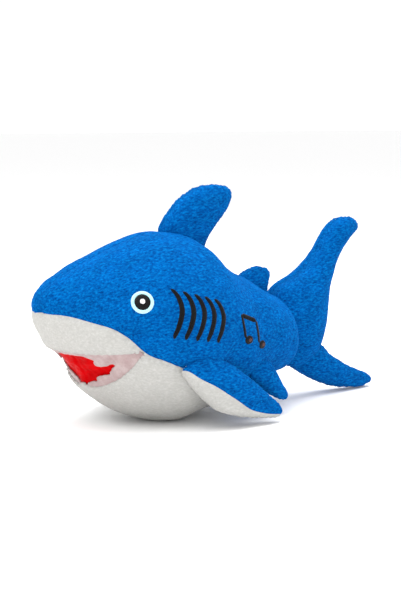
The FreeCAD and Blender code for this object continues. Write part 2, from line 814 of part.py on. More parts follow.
settle("Magnet", "speaker_magnet", [
    cylinder("MagnetDisc", "Sizes.magnet", "6.2", "10.2", "Sizes.speaker_along")])
basket = boolean(
    "Cut", "Basket",
    cone("BasketOut", "Sizes.magnet + 0.8", "Sizes.speaker", "10.3", "13", "Sizes.speaker_along"),
    cone("BasketIn", "Sizes.magnet - 0.4", "Sizes.speaker - 1.2", "10.3", "13",
         "Sizes.speaker_along"))
rim = boolean(
    "Cut", "Rim",
    cylinder("RimOut", "Sizes.speaker", "12.9", "16.3", "Sizes.speaker_along"),
    cylinder("RimIn", "Sizes.speaker - 1.2", "12.8", "16.4", "Sizes.speaker_along"))
settle("SpeakerFrame", "speaker_frame", [join("FrameParts", [basket, rim])])
settle("SpeakerCone", "speaker_cone", [boolean(
    "Cut", "ConeShell",
    cone("ConeOut", "2.4", "Sizes.speaker - 1.4", "12", "15.6", "Sizes.speaker_along"),
    cone("ConeIn", "1.9", "Sizes.speaker - 1.9", "12.4", "15.6", "Sizes.speaker_along"))])

FLANGE_LOW = "Sizes.unit_thick - Sizes.wall - 1.6"
settle("PushButton", "push_button", [join("ButtonParts", [
    cylinder("ButtonCap", "Sizes.button", FLANGE_LOW,
             "Sizes.unit_thick + Sizes.button_proud", "Sizes.button_along"),
    cylinder("ButtonFlange", "Sizes.button + 1.1", FLANGE_LOW,
             FLANGE_LOW + " + 1.2", "Sizes.button_along"),
    cylinder("ButtonPin", "1.3", "Sizes.board_low + 3.5", FLANGE_LOW + " + 0.1",
             "Sizes.button_along")])])

coil = doc.addObject("Part::Helix", "SpringPath")
bind(coil, Radius="4", Pitch="1.2", Height="3.6", Placement__Base__x="Sizes.button_along",
     Placement__Base__z=BOARD_TOP + " + 0.4")
wire = doc.addObject("Part::Circle", "SpringWire")
bind(wire, Radius="0.25", Placement__Base__x="Sizes.button_along + 4",
     Placement__Base__z=BOARD_TOP + " + 0.4")
wire.Placement.Rotation = Rotation(Vector(1, 0, 0), 90)
spring = doc.addObject("Part::Sweep", "SpringCoil")
spring.Sections = [wire]
spring.Spine = (coil, [""])
spring.Solid = True
spring.Frenet = True
settle("Spring", "button_spring", [spring])

SWITCH_SPOT = ("Sizes.switch_along - Sizes.switch_travel / 2", "Sizes.switch_up")
settle("ModeSwitch", "mode_switch", [join("SwitchParts", [
    flat_box("SwitchKnob", SWITCH_SPOT, ("2", "1.2"), "-0.4", "Sizes.wall + 0.3"),
    flat_box("SwitchPlate", SWITCH_SPOT, ("4.2", "2.8"), "Sizes.wall + 0.2",
             "Sizes.wall + 1.4")])])


def around_unit(name, grow):
    """A box round the unit and its button, larger by an amount on each side."""
    block = flat_box(
        name + "Block", ("0", "0"),
        ("Sizes.unit_length / 2 + %s" % grow, "Sizes.unit_tall / 2 + %s" % grow),
        "-(%s)" % grow, "Sizes.unit_thick + Sizes.button_proud + %s" % grow)
    return seat(group(name, [block]))


pouch_out = around_unit("PouchOut", "Sizes.pouch_gap + Sizes.pouch_wall")
pouch_in = around_unit("PouchIn", "Sizes.pouch_gap")
keep(boolean("Cut", "Pouch", pouch_out, pouch_in), "module_pouch")
cavity = around_unit("Cavity", "Sizes.pouch_gap + Sizes.pouch_wall + 0.2")

# ----------------------------------------------- closure and body stuffing

strip_space = box(
    "StripSpace",
    ("-Sizes.closure_half_width", "Sizes.closure_from", "0"),
    ("Sizes.closure_half_width", "Sizes.closure_to", "40"))
inset = "Sizes.skin + Sizes.gap"
strip_levels = []
for level in range(3):
    strip_levels.append(trunk_loft(
        "StripLevel%d" % level,
        "%s + %d * (Sizes.closure_thick + Sizes.gap)" % (inset, level)))
loop_layer = boolean("Cut", "LoopLayer", strip_levels[0], trunk_loft(
    "LoopInside", inset + " + Sizes.closure_thick"))
hook_layer = boolean("Cut", "HookLayer", strip_levels[1], trunk_loft(
    "HookInside", inset + " + 2 * Sizes.closure_thick + Sizes.gap"))
keep(boolean("Common", "LoopStrip", loop_layer, strip_space), "closure_loop_strip")
keep(boolean("Common", "HookStrip", hook_layer, strip_space), "closure_hook_strip")

strip_room = boolean("Cut", "StripRoom", box(
    "StripRoomBox",
    ("-Sizes.closure_half_width - 0.3", "Sizes.closure_from - 0.3", "-1"),
    ("Sizes.closure_half_width + 0.3", "Sizes.closure_to + 0.3", "40")),
    strip_levels[2])
stuffing = trunk_core
for number, tool in enumerate((mouth_core_cut, cavity, strip_room)):
    stuffing = boolean("Cut", "Stuffing%d" % number, stuffing, tool)
keep(stuffing, "body_stuffing")

# ------------------------------------------------------------ fins and tail


def centre_fin(name, prefix, label):
    """A fin on the centre line: two fabric sides sewn at x = 0, and its filling."""
    left = keep(fin_fabric(name + "Left", prefix, 1), label + "_panel_left")
    mirror(left, label + "_panel_right")
    keep(fin_filling(name + "Filling", prefix), label + "_stuffing")


centre_fin("Dorsal", "dorsal", "dorsal_fin")
centre_fin("RearDorsal", "rear_dorsal", "rear_dorsal_fin")
centre_fin("Tail", "tail", "tail")
centre_fin("Lobe", "lobe", "lower_tail_lobe")


def paired_fin(name, prefix, label):
    """A flank fin: an outer and an inner fabric side and its filling, both hands."""
    pieces = ((fin_fabric(name + "Top", prefix, 1), "_top_panel"),
              (fin_fabric(name + "Under", prefix, -1), "_under_panel"),
              (fin_filling(name + "Filling", prefix), "_stuffing"))
    for piece, ending in pieces:
        keep(piece, label + ending + "_left")
        mirror(piece, label + ending + "_right")


paired_fin("Pectoral", "pectoral", "pectoral_fin")
paired_fin("Pelvic", "pelvic", "pelvic_fin")

# ------------------------------------------------------------ build and save

doc.recompute()

faults = [item.Name for item in doc.Objects
          if "Invalid" in item.State or "Error" in item.State]
for label, piece in subparts.items():
    if piece.Shape.isNull() or not piece.Shape.isValid() or not piece.Shape.Solids:
        faults.append(label)
if faults:
    raise RuntimeError("these objects failed: " + ", ".join(faults))

os.makedirs("parts", exist_ok=True)
for label, piece in subparts.items():
    piece.Shape.exportStep("parts/%s.step" % label)
    print("%-28s solids %2d  volume %10.1f mm3" % (
        label, len(piece.Shape.Solids), piece.Shape.Volume))
print(len(subparts), "pieces")
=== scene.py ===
import json
import math

import bmesh
import bpy
import numpy as np
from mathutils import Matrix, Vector, geometry, noise
from mathutils.bvhtree import BVHTree
from mathutils.kdtree import KDTree


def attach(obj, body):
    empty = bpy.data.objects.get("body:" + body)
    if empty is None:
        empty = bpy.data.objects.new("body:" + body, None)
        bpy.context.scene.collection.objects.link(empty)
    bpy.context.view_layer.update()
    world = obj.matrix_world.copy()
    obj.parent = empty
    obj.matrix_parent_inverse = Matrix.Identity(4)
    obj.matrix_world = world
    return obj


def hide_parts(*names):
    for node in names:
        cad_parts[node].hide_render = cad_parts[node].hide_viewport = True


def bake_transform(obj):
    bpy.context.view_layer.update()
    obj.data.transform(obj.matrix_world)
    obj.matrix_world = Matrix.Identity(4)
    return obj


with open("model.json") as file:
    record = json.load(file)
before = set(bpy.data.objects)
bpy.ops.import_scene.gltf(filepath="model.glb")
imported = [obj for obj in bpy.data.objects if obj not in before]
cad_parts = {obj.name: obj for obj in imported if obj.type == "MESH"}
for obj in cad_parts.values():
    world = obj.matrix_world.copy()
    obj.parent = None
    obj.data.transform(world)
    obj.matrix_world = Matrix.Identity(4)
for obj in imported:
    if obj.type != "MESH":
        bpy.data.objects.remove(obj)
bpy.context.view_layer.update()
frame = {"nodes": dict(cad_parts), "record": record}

# The looks of a stuffed plush shark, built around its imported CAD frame.
# The nose points to -Y, the back to +Z, and the shark's left side to +X.
# The tables are in millimetres, as fabric patterns are, and MM turns them into metres.

MM = 0.001
LEFT, RIGHT = 1, -1
QUARTER = math.pi / 2
# Thickness of the pile fabric.
SKIN = 1.5
# Distance from one satin-stitch thread to the next.
THREAD = 0.62

# ---------------------------------------------------------------- curves


def hermite(places, values, wanted):
    """A smooth curve through (places, values), read at the wanted places."""
    places = np.asarray(places, float)
    values = np.asarray(values, float)
    wanted = np.asarray(wanted, float)
    slopes = np.gradient(values, places)
    left = np.clip(np.searchsorted(places, wanted) - 1, 0, len(places) - 2)
    width = places[left + 1] - places[left]
    t = np.clip((wanted - places[left]) / width, 0, 1)
    return (
        (2 * t**3 - 3 * t**2 + 1) * values[left]
        + (t**3 - 2 * t**2 + t) * width * slopes[left]
        + (3 * t**2 - 2 * t**3) * values[left + 1]
        + (t**3 - t**2) * width * slopes[left + 1]
    )


def smooth_line(points, spacing, closed=False):
    """Evenly spaced points along a smooth curve through the given ones."""
    points = np.asarray(points, float)
    if closed:
        points = np.vstack([points[-3:], points, points[:4]])
    steps = np.linalg.norm(np.diff(points, axis=0), axis=1)
    along = np.concatenate([[0], np.cumsum(np.sqrt(steps))])
    start, end = (along[3], along[-4]) if closed else (along[0], along[-1])
    fine = np.linspace(start, end, 60 * len(points))
    line = np.stack([hermite(along, points[:, k], fine) for k in range(points.shape[1])], 1)
    length = np.concatenate([[0], np.cumsum(np.linalg.norm(np.diff(line, axis=0), axis=1))])
    count = max(4, int(round(length[-1] / spacing)))
    wanted = np.linspace(0, length[-1], count + 1)
    if closed:
        wanted = wanted[:-1]
    return np.stack([np.interp(wanted, length, line[:, k]) for k in range(line.shape[1])], 1)


def ripple(points, size, seed=0.0):
    """Smooth noise from -1 to 1 at each point, with lumps of about the given size."""
    return np.array([noise.noise(Vector(p) / size + Vector((seed, 2 * seed, -seed))) for p in points])


# ---------------------------------------------------------------- meshes


def face_normals(points, faces):
    """An area-weighted normal at each point of a mesh."""
    normals = np.zeros_like(points)
    for face in faces:
        corner = points[list(face)]
        turn = np.zeros(3)
        for k in range(1, len(face) - 1):
            turn += np.cross(corner[k] - corner[0], corner[k + 1] - corner[0])
        normals[list(face)] += turn
    return normals / np.maximum(np.linalg.norm(normals, axis=1, keepdims=True), 1e-9)


def clip(points, faces, field):
    """The part of a mesh where field(points) is positive, cut cleanly along its zero line."""
    value = field(points)
    rows, number, crossing, cut_faces = [], {}, {}, []

    def corner(i):
        if i not in number:
            number[i] = len(rows)
            rows.append(points[i])
        return number[i]

    def between(i, j):
        key = (min(i, j), max(i, j))
        if key not in crossing:
            share = value[i] / (value[i] - value[j])
            crossing[key] = len(rows)
            rows.append(points[i] + (points[j] - points[i]) * share)
        return crossing[key]

    for face in faces:
        inside = [value[i] > 0 for i in face]
        if all(inside):
            cut_faces.append([corner(i) for i in face])
        elif any(inside):
            made = []
            for k, i in enumerate(face):
                j = face[(k + 1) % len(face)]
                if inside[k]:
                    made.append(corner(i))
                if inside[k] != inside[(k + 1) % len(face)]:
                    made.append(between(i, j))
            cut_faces.append(made)
    return np.array(rows), cut_faces


def piece(name, points, faces, material, thick=0.0):
    """A Blender mesh from millimetre points. thick gives a sheet its thickness, inward."""
    mesh = bpy.data.meshes.new(name)
    mesh.from_pydata([tuple(p) for p in np.asarray(points) * MM], [], [list(f) for f in faces])
    made = bmesh.new()
    made.from_mesh(mesh)
    bmesh.ops.remove_doubles(made, verts=made.verts, dist=0.02 * MM)
    bmesh.ops.dissolve_degenerate(made, edges=made.edges, dist=0.005 * MM)
    made.to_mesh(mesh)
    made.free()
    mesh.polygons.foreach_set("use_smooth", [True] * len(mesh.polygons))
    thing = bpy.data.objects.new(name, mesh)
    bpy.context.scene.collection.objects.link(thing)
    thing.data.materials.append(material)
    if thick:
        shell = thing.modifiers.new("Thickness", "SOLIDIFY")
        shell.thickness = thick * MM
        shell.offset = -1
        shell.use_even_offset = False
    return thing


# ---------------------------------------------------------------- materials


def nodes_of(name):
    """A new material, its nodes, its links and its main shader."""
    material = bpy.data.materials.new(name)
    material.use_nodes = True
    tree = material.node_tree
    return material, tree.nodes, tree.links, tree.nodes["Principled BSDF"]


def linear(red, green, blue):
    """A colour of 0 to 255 values as the shader's linear numbers."""
    colour = []
    for value in (red, green, blue):
        share = value / 255
        colour.append(share / 12.92 if share < 0.04045 else ((share + 0.055) / 1.055) ** 2.4)
    return colour + [1]


def noise_field(nodes, links, size, stretch=(1, 1, 1), turn=(0, 0, 0), detail=2.0, rough=0.5):
    """A noise whose lumps are size millimetres, longer along the axes where stretch is above 1."""
    place = nodes.new("ShaderNodeTexCoord")
    mapping = nodes.new("ShaderNodeMapping")
    mapping.inputs["Rotation"].default_value = turn
    mapping.inputs["Scale"].default_value = [1 / (size * MM * s) for s in stretch]
    made = nodes.new("ShaderNodeTexNoise")
    made.inputs["Scale"].default_value = 1.0
    made.inputs["Detail"].default_value = detail
    made.inputs["Roughness"].default_value = rough
    links.new(place.outputs["Object"], mapping.inputs["Vector"])
    links.new(mapping.outputs["Vector"], made.inputs["Vector"])
    return made.outputs["Fac"]


def ramp(nodes, links, value, stops):
    """Colours or greys along a value."""
    made = nodes.new("ShaderNodeValToRGB")
    made.color_ramp.elements[0].position, made.color_ramp.elements[0].color = stops[0]
    made.color_ramp.elements[1].position, made.color_ramp.elements[1].color = stops[-1]
    for position, colour in stops[1:-1]:
        made.color_ramp.elements.new(position).color = colour
    links.new(value, made.inputs["Fac"])
    return made.outputs["Color"]


def grey(value):
    """A neutral colour."""
    return (value, value, value, 1)


def mix(nodes, links, kind, share, first, second):
    """Two colours blended in the way that kind names."""
    made = nodes.new("ShaderNodeMix")
    made.data_type = "RGBA"
    made.blend_type = kind
    made.inputs["Factor"].default_value = share
    links.new(first, made.inputs[6])
    links.new(second, made.inputs[7])
    return made.outputs[2]


def bump(nodes, links, shader, layers):
    """Stacks (height, strength, depth in millimetres) layers of bump."""
    last = None
    for height, strength, depth in layers:
        made = nodes.new("ShaderNodeBump")
        made.inputs["Strength"].default_value = strength
        made.inputs["Distance"].default_value = depth * MM
        links.new(height, made.inputs["Height"])
        if last:
            links.new(last, made.inputs["Normal"])
        last = made.outputs["Normal"]
    links.new(last, shader.inputs["Normal"])


def surface(shader, rough, spec=0.5, sheen=0.0):
    """Sets how rough and glossy a shader is, and how much its nap shines at the edges."""
    shader.inputs["Roughness"].default_value = rough
    shader.inputs["Specular IOR Level"].default_value = spec
    shader.inputs["Sheen Weight"].default_value = sheen


def plush(name, dark, middle, light, sheen, tint, mottle, turn=(0, 0, 0)):
    """Short velour pile: brushed streaks, mottled tufts, fine fibres and a soft sheen.

    mottle is how much light is left between the tufts, and turn is the way the pile is brushed.
    """
    material, nodes, links, shader = nodes_of(name)
    streaks = noise_field(nodes, links, 1.15, (1, 2.4, 1), turn, 3.0, 0.62)
    patches = noise_field(nodes, links, 8, (1, 2.2, 1), turn, 3.0, 0.55)
    fibres = noise_field(nodes, links, 0.4, (1, 3.0, 1), turn, 2.0, 0.7)
    base = ramp(nodes, links, streaks, [(0.28, dark), (0.5, middle), (0.74, light)])
    wide = ramp(nodes, links, patches, [(0.25, grey(mottle)), (0.75, grey(1.0))])
    fine = ramp(nodes, links, fibres, [(0.25, grey(mottle)), (0.7, grey(1.0))])
    shaded = mix(nodes, links, "MULTIPLY", 1.0, base, wide)
    links.new(mix(nodes, links, "MULTIPLY", 1.0, shaded, fine), shader.inputs["Base Color"])
    surface(shader, 0.9, 0.02, sheen)
    shader.inputs["Sheen Roughness"].default_value = 0.42
    shader.inputs["Sheen Tint"].default_value = tint
    bump(nodes, links, shader, [(streaks, 0.4, 0.6), (fibres, 0.45, 0.3)])
    return material


def blue_plush(name, turn):
    """The back's and the fins' blue pile, brushed along turn."""
    return plush(
        name,
        linear(0, 56, 122),
        linear(0, 89, 166),
        linear(4, 126, 204),
        0.2,
        linear(0, 150, 255),
        0.76,
        turn,
    )


def cloth_material(name, colour, second, rough, pitch, sheen=0.2, spec=0.4):
    """A woven cloth: threads both ways in the weave's pitch, with a slight colour drift."""
    material, nodes, links, shader = nodes_of(name)
    warp = noise_field(nodes, links, pitch, (1, 6, 6), detail=1.0)
    weft = noise_field(nodes, links, pitch, (6, 1, 1), detail=1.0)
    drift = noise_field(nodes, links, 9, detail=3.0)
    links.new(ramp(nodes, links, drift, [(0.3, colour), (0.7, second)]), shader.inputs["Base Color"])
    surface(shader, rough, spec, sheen)
    bump(nodes, links, shader, [(warp, 0.3, 0.15), (weft, 0.3, 0.15)])
    return material


def hard_material(name, colour, rough, metallic=0.0, grain=0.4):
    """Moulded plastic or metal with a fine grain and uneven gloss."""
    material, nodes, links, shader = nodes_of(name)
    grains = noise_field(nodes, links, grain, detail=3.0)
    drift = noise_field(nodes, links, 6, detail=3.0)
    darker = [c * 0.82 for c in colour[:3]] + [1]
    links.new(ramp(nodes, links, drift, [(0.3, darker), (0.7, colour)]), shader.inputs["Base Color"])
    gloss = ramp(nodes, links, grains, [(0.3, grey(rough * 0.8)), (0.7, grey(min(1, rough * 1.2)))])
    links.new(gloss, shader.inputs["Roughness"])
    shader.inputs["Metallic"].default_value = metallic
    bump(nodes, links, shader, [(grains, 0.15, 0.05)])
    return material


def fibre_material(name):
    """Loose polyester filling: tangled, nearly white."""
    material, nodes, links, shader = nodes_of(name)
    tangle = noise_field(nodes, links, 1.6, detail=6.0, rough=0.7)
    links.new(
        ramp(nodes, links, tangle, [(0.3, linear(205, 205, 205)), (0.7, linear(250, 250, 250))]),
        shader.inputs["Base Color"],
    )
    surface(shader, 1.0, sheen=0.5)
    bump(nodes, links, shader, [(tangle, 0.8, 1.2)])
    return material


def thread_material(name, colour, second, spec=0.4):
    """Rayon embroidery thread: smooth, with small bright glints along the stitches."""
    material, nodes, links, shader = nodes_of(name)
    strands = noise_field(nodes, links, 0.3, (1, 4, 1), detail=2.0)
    links.new(ramp(nodes, links, strands, [(0.3, colour), (0.75, second)]), shader.inputs["Base Color"])
    surface(shader, 0.42, spec)
    bump(nodes, links, shader, [(strands, 0.4, 0.12)])
    return material


def satin_material(name):
    """Red satin: close weave, a wide soft gloss and small creases."""
    material, nodes, links, shader = nodes_of(name)
    creases = noise_field(nodes, links, 7, (2.4, 1, 1), (0.5, 0, 0.4), 3.0, 0.55)
    weave = noise_field(nodes, links, 0.35, (5, 1, 1), detail=1.0)
    links.new(
        ramp(nodes, links, creases, [(0.3, linear(172, 0, 3)), (0.7, linear(196, 0, 6))]),
        shader.inputs["Base Color"],
    )
    surface(shader, 0.5, 0.02)
    bump(nodes, links, shader, [(creases, 0.35, 1.2), (weave, 0.25, 0.1)])
    return material


def felt_material(name):
    """Pressed white felt with matted fibres, coloured pinkish grey: painted shade of the mouth, tinted by
    its red lining.
    """
    material, nodes, links, shader = nodes_of(name)
    mat = noise_field(nodes, links, 1.1, detail=5.0, rough=0.7)
    drift = noise_field(nodes, links, 8, detail=2.0)
    # The pinkish grey of both ramps is painted shade inside the mouth, tinted red by the lining; the felt
    # itself is white.
    fleck = ramp(nodes, links, mat, [(0.3, (0.86, 0.80, 0.81, 1)), (0.7, (1, 1, 1, 1))])
    wide = ramp(nodes, links, drift, [(0.3, linear(162, 140, 139)), (0.7, linear(178, 162, 160))])
    links.new(mix(nodes, links, "MULTIPLY", 1.0, wide, fleck), shader.inputs["Base Color"])
    surface(shader, 0.95, sheen=0.3)
    bump(nodes, links, shader, [(mat, 0.5, 0.5)])
    return material


MATERIAL = {
    "blue_body": blue_plush("BluePlushBody", (0, 0, 0)),
    "blue_dorsal": blue_plush("BluePlushDorsal", (math.radians(40), 0, 0)),
    "blue_tail": blue_plush("BluePlushTail", (math.radians(55), 0, 0)),
    "blue_fin": blue_plush("BluePlushFin", (math.radians(-28), 0, 0)),
    "white": plush(
        "WhitePlush",
        linear(170, 169, 165),
        linear(178, 177, 173),
        linear(191, 190, 187),
        0.12,
        linear(255, 255, 255),
        0.95,
    ),
    "red_satin": satin_material("RedSatin"),
    "felt": felt_material("PaleFelt"),
    "pale_thread": thread_material("PaleBlueThread", linear(150, 212, 222), linear(200, 232, 236)),
    "black_thread": thread_material("BlackThread", linear(3, 3, 5), linear(15, 16, 20), 0.15),
    "brown_thread": thread_material("BrownThread", linear(52, 14, 12), linear(84, 26, 20)),
    "white_thread": thread_material("WhiteThread", linear(226, 226, 230), linear(244, 244, 247)),
    "stuffing": fibre_material("PolyesterFibre"),
    "tape": cloth_material("ClosureTape", linear(24, 70, 150), linear(34, 86, 170), 0.8, 0.8),
    "pouch": cloth_material("PouchCloth", linear(226, 226, 220), linear(240, 240, 236), 0.85, 0.5),
    "module": hard_material("ModulePlastic", linear(28, 28, 30), 0.45),
    "button": hard_material("ButtonPlastic", linear(196, 24, 22), 0.35),
    "steel": hard_material("Steel", linear(190, 192, 196), 0.3, 1.0, 0.2),
    "board": hard_material("Board", linear(20, 92, 48), 0.5),
    "speaker": hard_material("SpeakerPlastic", linear(52, 52, 56), 0.6),
}

# ---------------------------------------------------------------- the trunk

# Cross-sections: place along the body, top, bottom, half width.
TRUNK = np.array([
    (-103.4, 81.4, 80.6, 0.4),
    (-102.9, 83.3, 78.8, 2.4),
    (-101, 86, 76, 5.6),
    (-98, 91, 68, 11.4),
    (-90, 97, 56, 20),
    (-78, 103, 37, 31),
    (-60, 111, 22, 43),
    (-35, 121, 7.6, 53),
    (-5, 125.3, -0.8, 59),
    (18, 120, 3.2, 55.5),
    (34, 105, 5.5, 52.5),
    (48, 97, 11.4, 47.5),
    (62, 90.5, 17.5, 44),
    (82, 79.5, 22, 37.5),
    (94, 73, 25, 29),
    (100.5, 64, 34, 15),
    (102.6, 56, 42, 6),
    (103, 51, 47, 1),
])
# The seam between blue and white: place along the body and height, alike on both sides.
SEAM = np.array([
    (-106, 79),
    (-91, 78),
    (-79, 74),
    (-66, 68.5),
    (-59, 63),
    (-50, 54),
    (-35, 47),
    (-19, 39.5),
    (0, 28.5),
    (25, 18),
    (45, 15),
    (60, 17.6),
    (72, 16),
])
# The corner of the mouth: its place along the body, and the height of the whole upper lip.
CREASE_Y, CREASE_Z = -50, 53
# The lower lip in the side view: height and place along the body.
LOWER_LIP = np.array([
    (14, -72),
    (22.6, -65.5),
    (26.8, -63.8),
    (31.3, -61.6),
    (35.2, -59.4),
    (39.4, -57.2),
    (43.6, -54.9),
    (48.8, -52.4),
    (53, -50),
])
# The chin juts forward by this much, and this wide, at the middle of the lower lip.
CHIN, CHIN_WIDTH = 6, 7
# Mesh of the trunk: length of a cell along it, and the number of cells around it.
CELL = 1.15
AROUND = 300
# (depth, half width) of the valley that each kind of seam pulls into the fabric.
SIDE_VALLEY = (1.25, 2.6)
LIP_VALLEY = (1.3, 2.2)
RIDGE_VALLEY = (0.9, 1.7)
CLOSURE_VALLEY = (1.0, 1.9)


def trunk_profile(along):
    """Middle height, half height and half width of the trunk at places along it."""
    top = hermite(TRUNK[:, 0], TRUNK[:, 1], along)
    bottom = hermite(TRUNK[:, 0], TRUNK[:, 2], along)
    half_width = np.maximum(hermite(TRUNK[:, 0], TRUNK[:, 3], along), 0.2)
    return (top + bottom) / 2, (top - bottom) / 2, half_width


def side_of_trunk(along, height, side=LEFT):
    """The point of the trunk's surface at a place along it and a height."""
    middle, tall, half_width = trunk_profile(along)
    reach = np.sqrt(np.clip(1 - ((height - middle) / tall) ** 2, 0, 1))
    return np.stack([side * half_width * reach, along + 0 * height, height + 0 * along], -1)


def trunk_grid():
    """The whole trunk as one closed tube of small quads."""
    nose, rump = -98, 94
    front = np.linspace(TRUNK[0, 0], nose, 12)
    rear = np.linspace(rump, TRUNK[-1, 0], 14)
    along = np.concatenate([front[:-1], np.arange(nose, rump, CELL), rear])
    around = np.linspace(0, 2 * math.pi, AROUND, endpoint=False) + QUARTER
    middle, tall, half_width = trunk_profile(along)
    x = half_width[:, None] * np.cos(around)[None, :]
    z = middle[:, None] + tall[:, None] * np.sin(around)[None, :]
    y = np.repeat(along[:, None], len(around), 1)
    points = np.stack([x, y, z], -1).reshape(-1, 3)
    faces = []
    for row in range(len(along) - 1):
        for column in range(AROUND):
            after = (column + 1) % AROUND
            this, following = row * AROUND, (row + 1) * AROUND
            faces.append([this + column, following + column, following + after, this + after])
    faces.append(list(range(AROUND)))
    faces.append([(len(along) - 1) * AROUND + k for k in range(AROUND)][::-1])
    return points, faces


def seam_height(along):
    """Height of the blue and white seam, far below the body past the seam's end."""
    height = hermite(SEAM[:, 0], SEAM[:, 1], along)
    return np.where(along > SEAM[-1, 0], -50, height)


def above_seam(points):
    """Height above the seam between blue and white."""
    return points[:, 2] - seam_height(points[:, 1])


def above_lip(points):
    """Height above the upper lip."""
    return points[:, 2] - CREASE_Z


def behind_jaw(points):
    """Distance behind the lower lip, whose middle juts forward."""
    chin = CHIN * np.exp(-((points[:, 0] / CHIN_WIDTH) ** 2))
    return points[:, 1] - hermite(LOWER_LIP[:, 0], LOWER_LIP[:, 1], points[:, 2]) + chin


def lip_curves(beyond=0.0):
    """The upper and the lower lip, each from the front centre to the left mouth corner.

    beyond moves both lines away from the opening, under the fabric of the snout and the jaw.
    """
    height = CREASE_Z + beyond
    search = np.linspace(-92, -85, 200)
    middle, tall, _ = trunk_profile(search)
    front = search[middle - tall < height][0]
    rows = front + (CREASE_Y - front) * np.linspace(0, 1, 60) ** 1.6
    upper = side_of_trunk(rows, np.full(60, height))
    lower = []
    grid = raw_points.reshape(-1, AROUND, 3)
    value = (behind_jaw(raw_points) - beyond).reshape(-1, AROUND)
    for column in range(AROUND // 2, AROUND):
        ring, depth = grid[:, column], value[:, column]
        crossed = np.nonzero((depth[:-1] < 0) & (depth[1:] >= 0))[0]
        if len(crossed):
            at = crossed[0]
            share = depth[at] / (depth[at] - depth[at + 1])
            place = ring[at] + (ring[at + 1] - ring[at]) * share
            if place[2] < CREASE_Z - 0.5:
                lower.append(place)
    lower.append(upper[-1])
    return smooth_line(upper[::3], 0.8), smooth_line(lower[::2], 0.8)


def seam_lines():
    """(line, depth, half width) of every sewn line on the trunk."""
    lines = []
    rows = np.arange(-103, 66, 1.0)
    heights = seam_height(rows)
    middle, tall, _ = trunk_profile(rows)
    on_body = heights > middle - tall
    for side in (LEFT, RIGHT):
        lines.append((side_of_trunk(rows[on_body], heights[on_body], side), *SIDE_VALLEY))
    for lip in lip_curves():
        right_half = lip[:0:-1] * (RIGHT, 1, 1)
        lines.append((np.vstack([right_half, lip]), *LIP_VALLEY))
    rows = np.arange(-102, 101, 1.0)
    middle, tall, _ = trunk_profile(rows)
    ridge = np.stack([0 * rows, rows, middle + tall], 1)
    lines.append((ridge, *RIDGE_VALLEY))
    closure = np.stack([0 * rows, rows, middle - tall], 1)[rows > 62]
    lines.append((closure, *CLOSURE_VALLEY))
    return lines


def shape_trunk(points, faces):
    """Lumps of stuffing, the flat it rests on, and seams that pull the fabric in."""
    normals = face_normals(points, faces)
    plumper = 0.7
    # Wide lumps and the smaller ones between them.
    lumps = ripple(points, 34, 1.3) * 1.3 + ripple(points, 15, 7.1) * 0.5
    moved = np.zeros(len(points))
    for line, depth, half_width in seam_lines():
        tree = KDTree(len(line))
        for k, place in enumerate(line):
            tree.insert(place, k)
        tree.balance()
        near = [tree.find(p) for p in points]
        gap = np.array([n[2] for n in near])
        spot = np.array([n[1] for n in near], float)
        pucker = 1 + 0.35 * np.sin(spot * 1.7) * np.sin(spot * 0.61 + 1) + 0.25 * np.sin(spot * 0.93)
        moved += -depth * np.exp(-((gap / half_width) ** 2)) * np.clip(pucker, 0.5, 1.6)
        moved += -0.45 * depth * np.exp(-((gap / (4.5 * half_width)) ** 2))
    # The pile's own unevenness, longer along the body.
    nap = ripple(points * (1, 0.5, 1), 1.9, 3.7) * 0.16
    shaped = points + normals * (lumps + moved + nap + plumper)[:, None]
    low = shaped[:, 2]
    resting = 0.5 * (low + np.sqrt(low**2 + 4)) - 0.3
    shaped[:, 2] = np.where(low < 3, resting, low)
    return shaped


raw_points, trunk_faces = trunk_grid()
trunk_points = shape_trunk(raw_points, trunk_faces)
trunk_tree = BVHTree.FromPolygons([tuple(p) for p in trunk_points], trunk_faces)
trunk_normals = face_normals(trunk_points, trunk_faces)
raw_tree = KDTree(len(raw_points))
for number, place in enumerate(raw_points):
    raw_tree.insert(place, number)
raw_tree.balance()


def under_skin(places, depth):
    """Where places of the plain trunk come to lie in the shaped one, a depth below its surface."""
    moved = []
    for place in places:
        near = [found[1] for found in raw_tree.find_n(place, 4)]
        shift = (trunk_points[near] - raw_points[near]).mean(0)
        moved.append(place + shift - trunk_normals[near].mean(0) * depth)
    return np.array(moved)


def panel(name, fields, material, thick=SKIN, shift=0.0):
    """A sewn panel of the trunk: the part of its surface where every field is positive."""
    points = np.hstack([raw_points, trunk_points])
    faces = trunk_faces
    for field in fields:
        points, faces = clip(points, faces, lambda p, f=field: f(p[:, :3]))
    shaped = points[:, 3:]
    if shift:
        shaped = shaped + face_normals(shaped, faces) * shift
    return piece(name, shaped, faces, material, thick)


def finished(thing, body, node_names):
    """Says what a piece rides on and which CAD nodes it stands for."""
    if body:
        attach(thing, body)
    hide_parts(*node_names)
    return thing


def trunk_panels():
    """The two blue flanks, the white snout and belly, and the filling behind them and the mouth."""
    for side, word in ((LEFT, "left"), (RIGHT, "right")):
        flank = panel("flank_" + word, [above_seam, lambda p, s=side: s * p[:, 0]], MATERIAL["blue_body"])
        finished(flank, "torso", ["side_panel_" + word])
    snout = panel(
        "snout",
        [lambda p: -above_seam(p), above_lip, lambda p: -behind_jaw(p)],
        MATERIAL["white"],
    )
    finished(snout, "torso", ["snout_panel"])
    belly = panel("belly", [lambda p: -above_seam(p), behind_jaw], MATERIAL["white"])
    finished(belly, "torso", ["belly_panel"])
    inside_lips, inside_skin = 1.2, -(SKIN + 0.9)
    behind_mouth = [lambda p: np.maximum(above_lip(p), behind_jaw(p)) - inside_lips]
    filling = panel("body_filling", behind_mouth, MATERIAL["stuffing"], 0, inside_skin)
    finished(filling, "torso", ["body_stuffing"])


# ---------------------------------------------------------------- the mouth

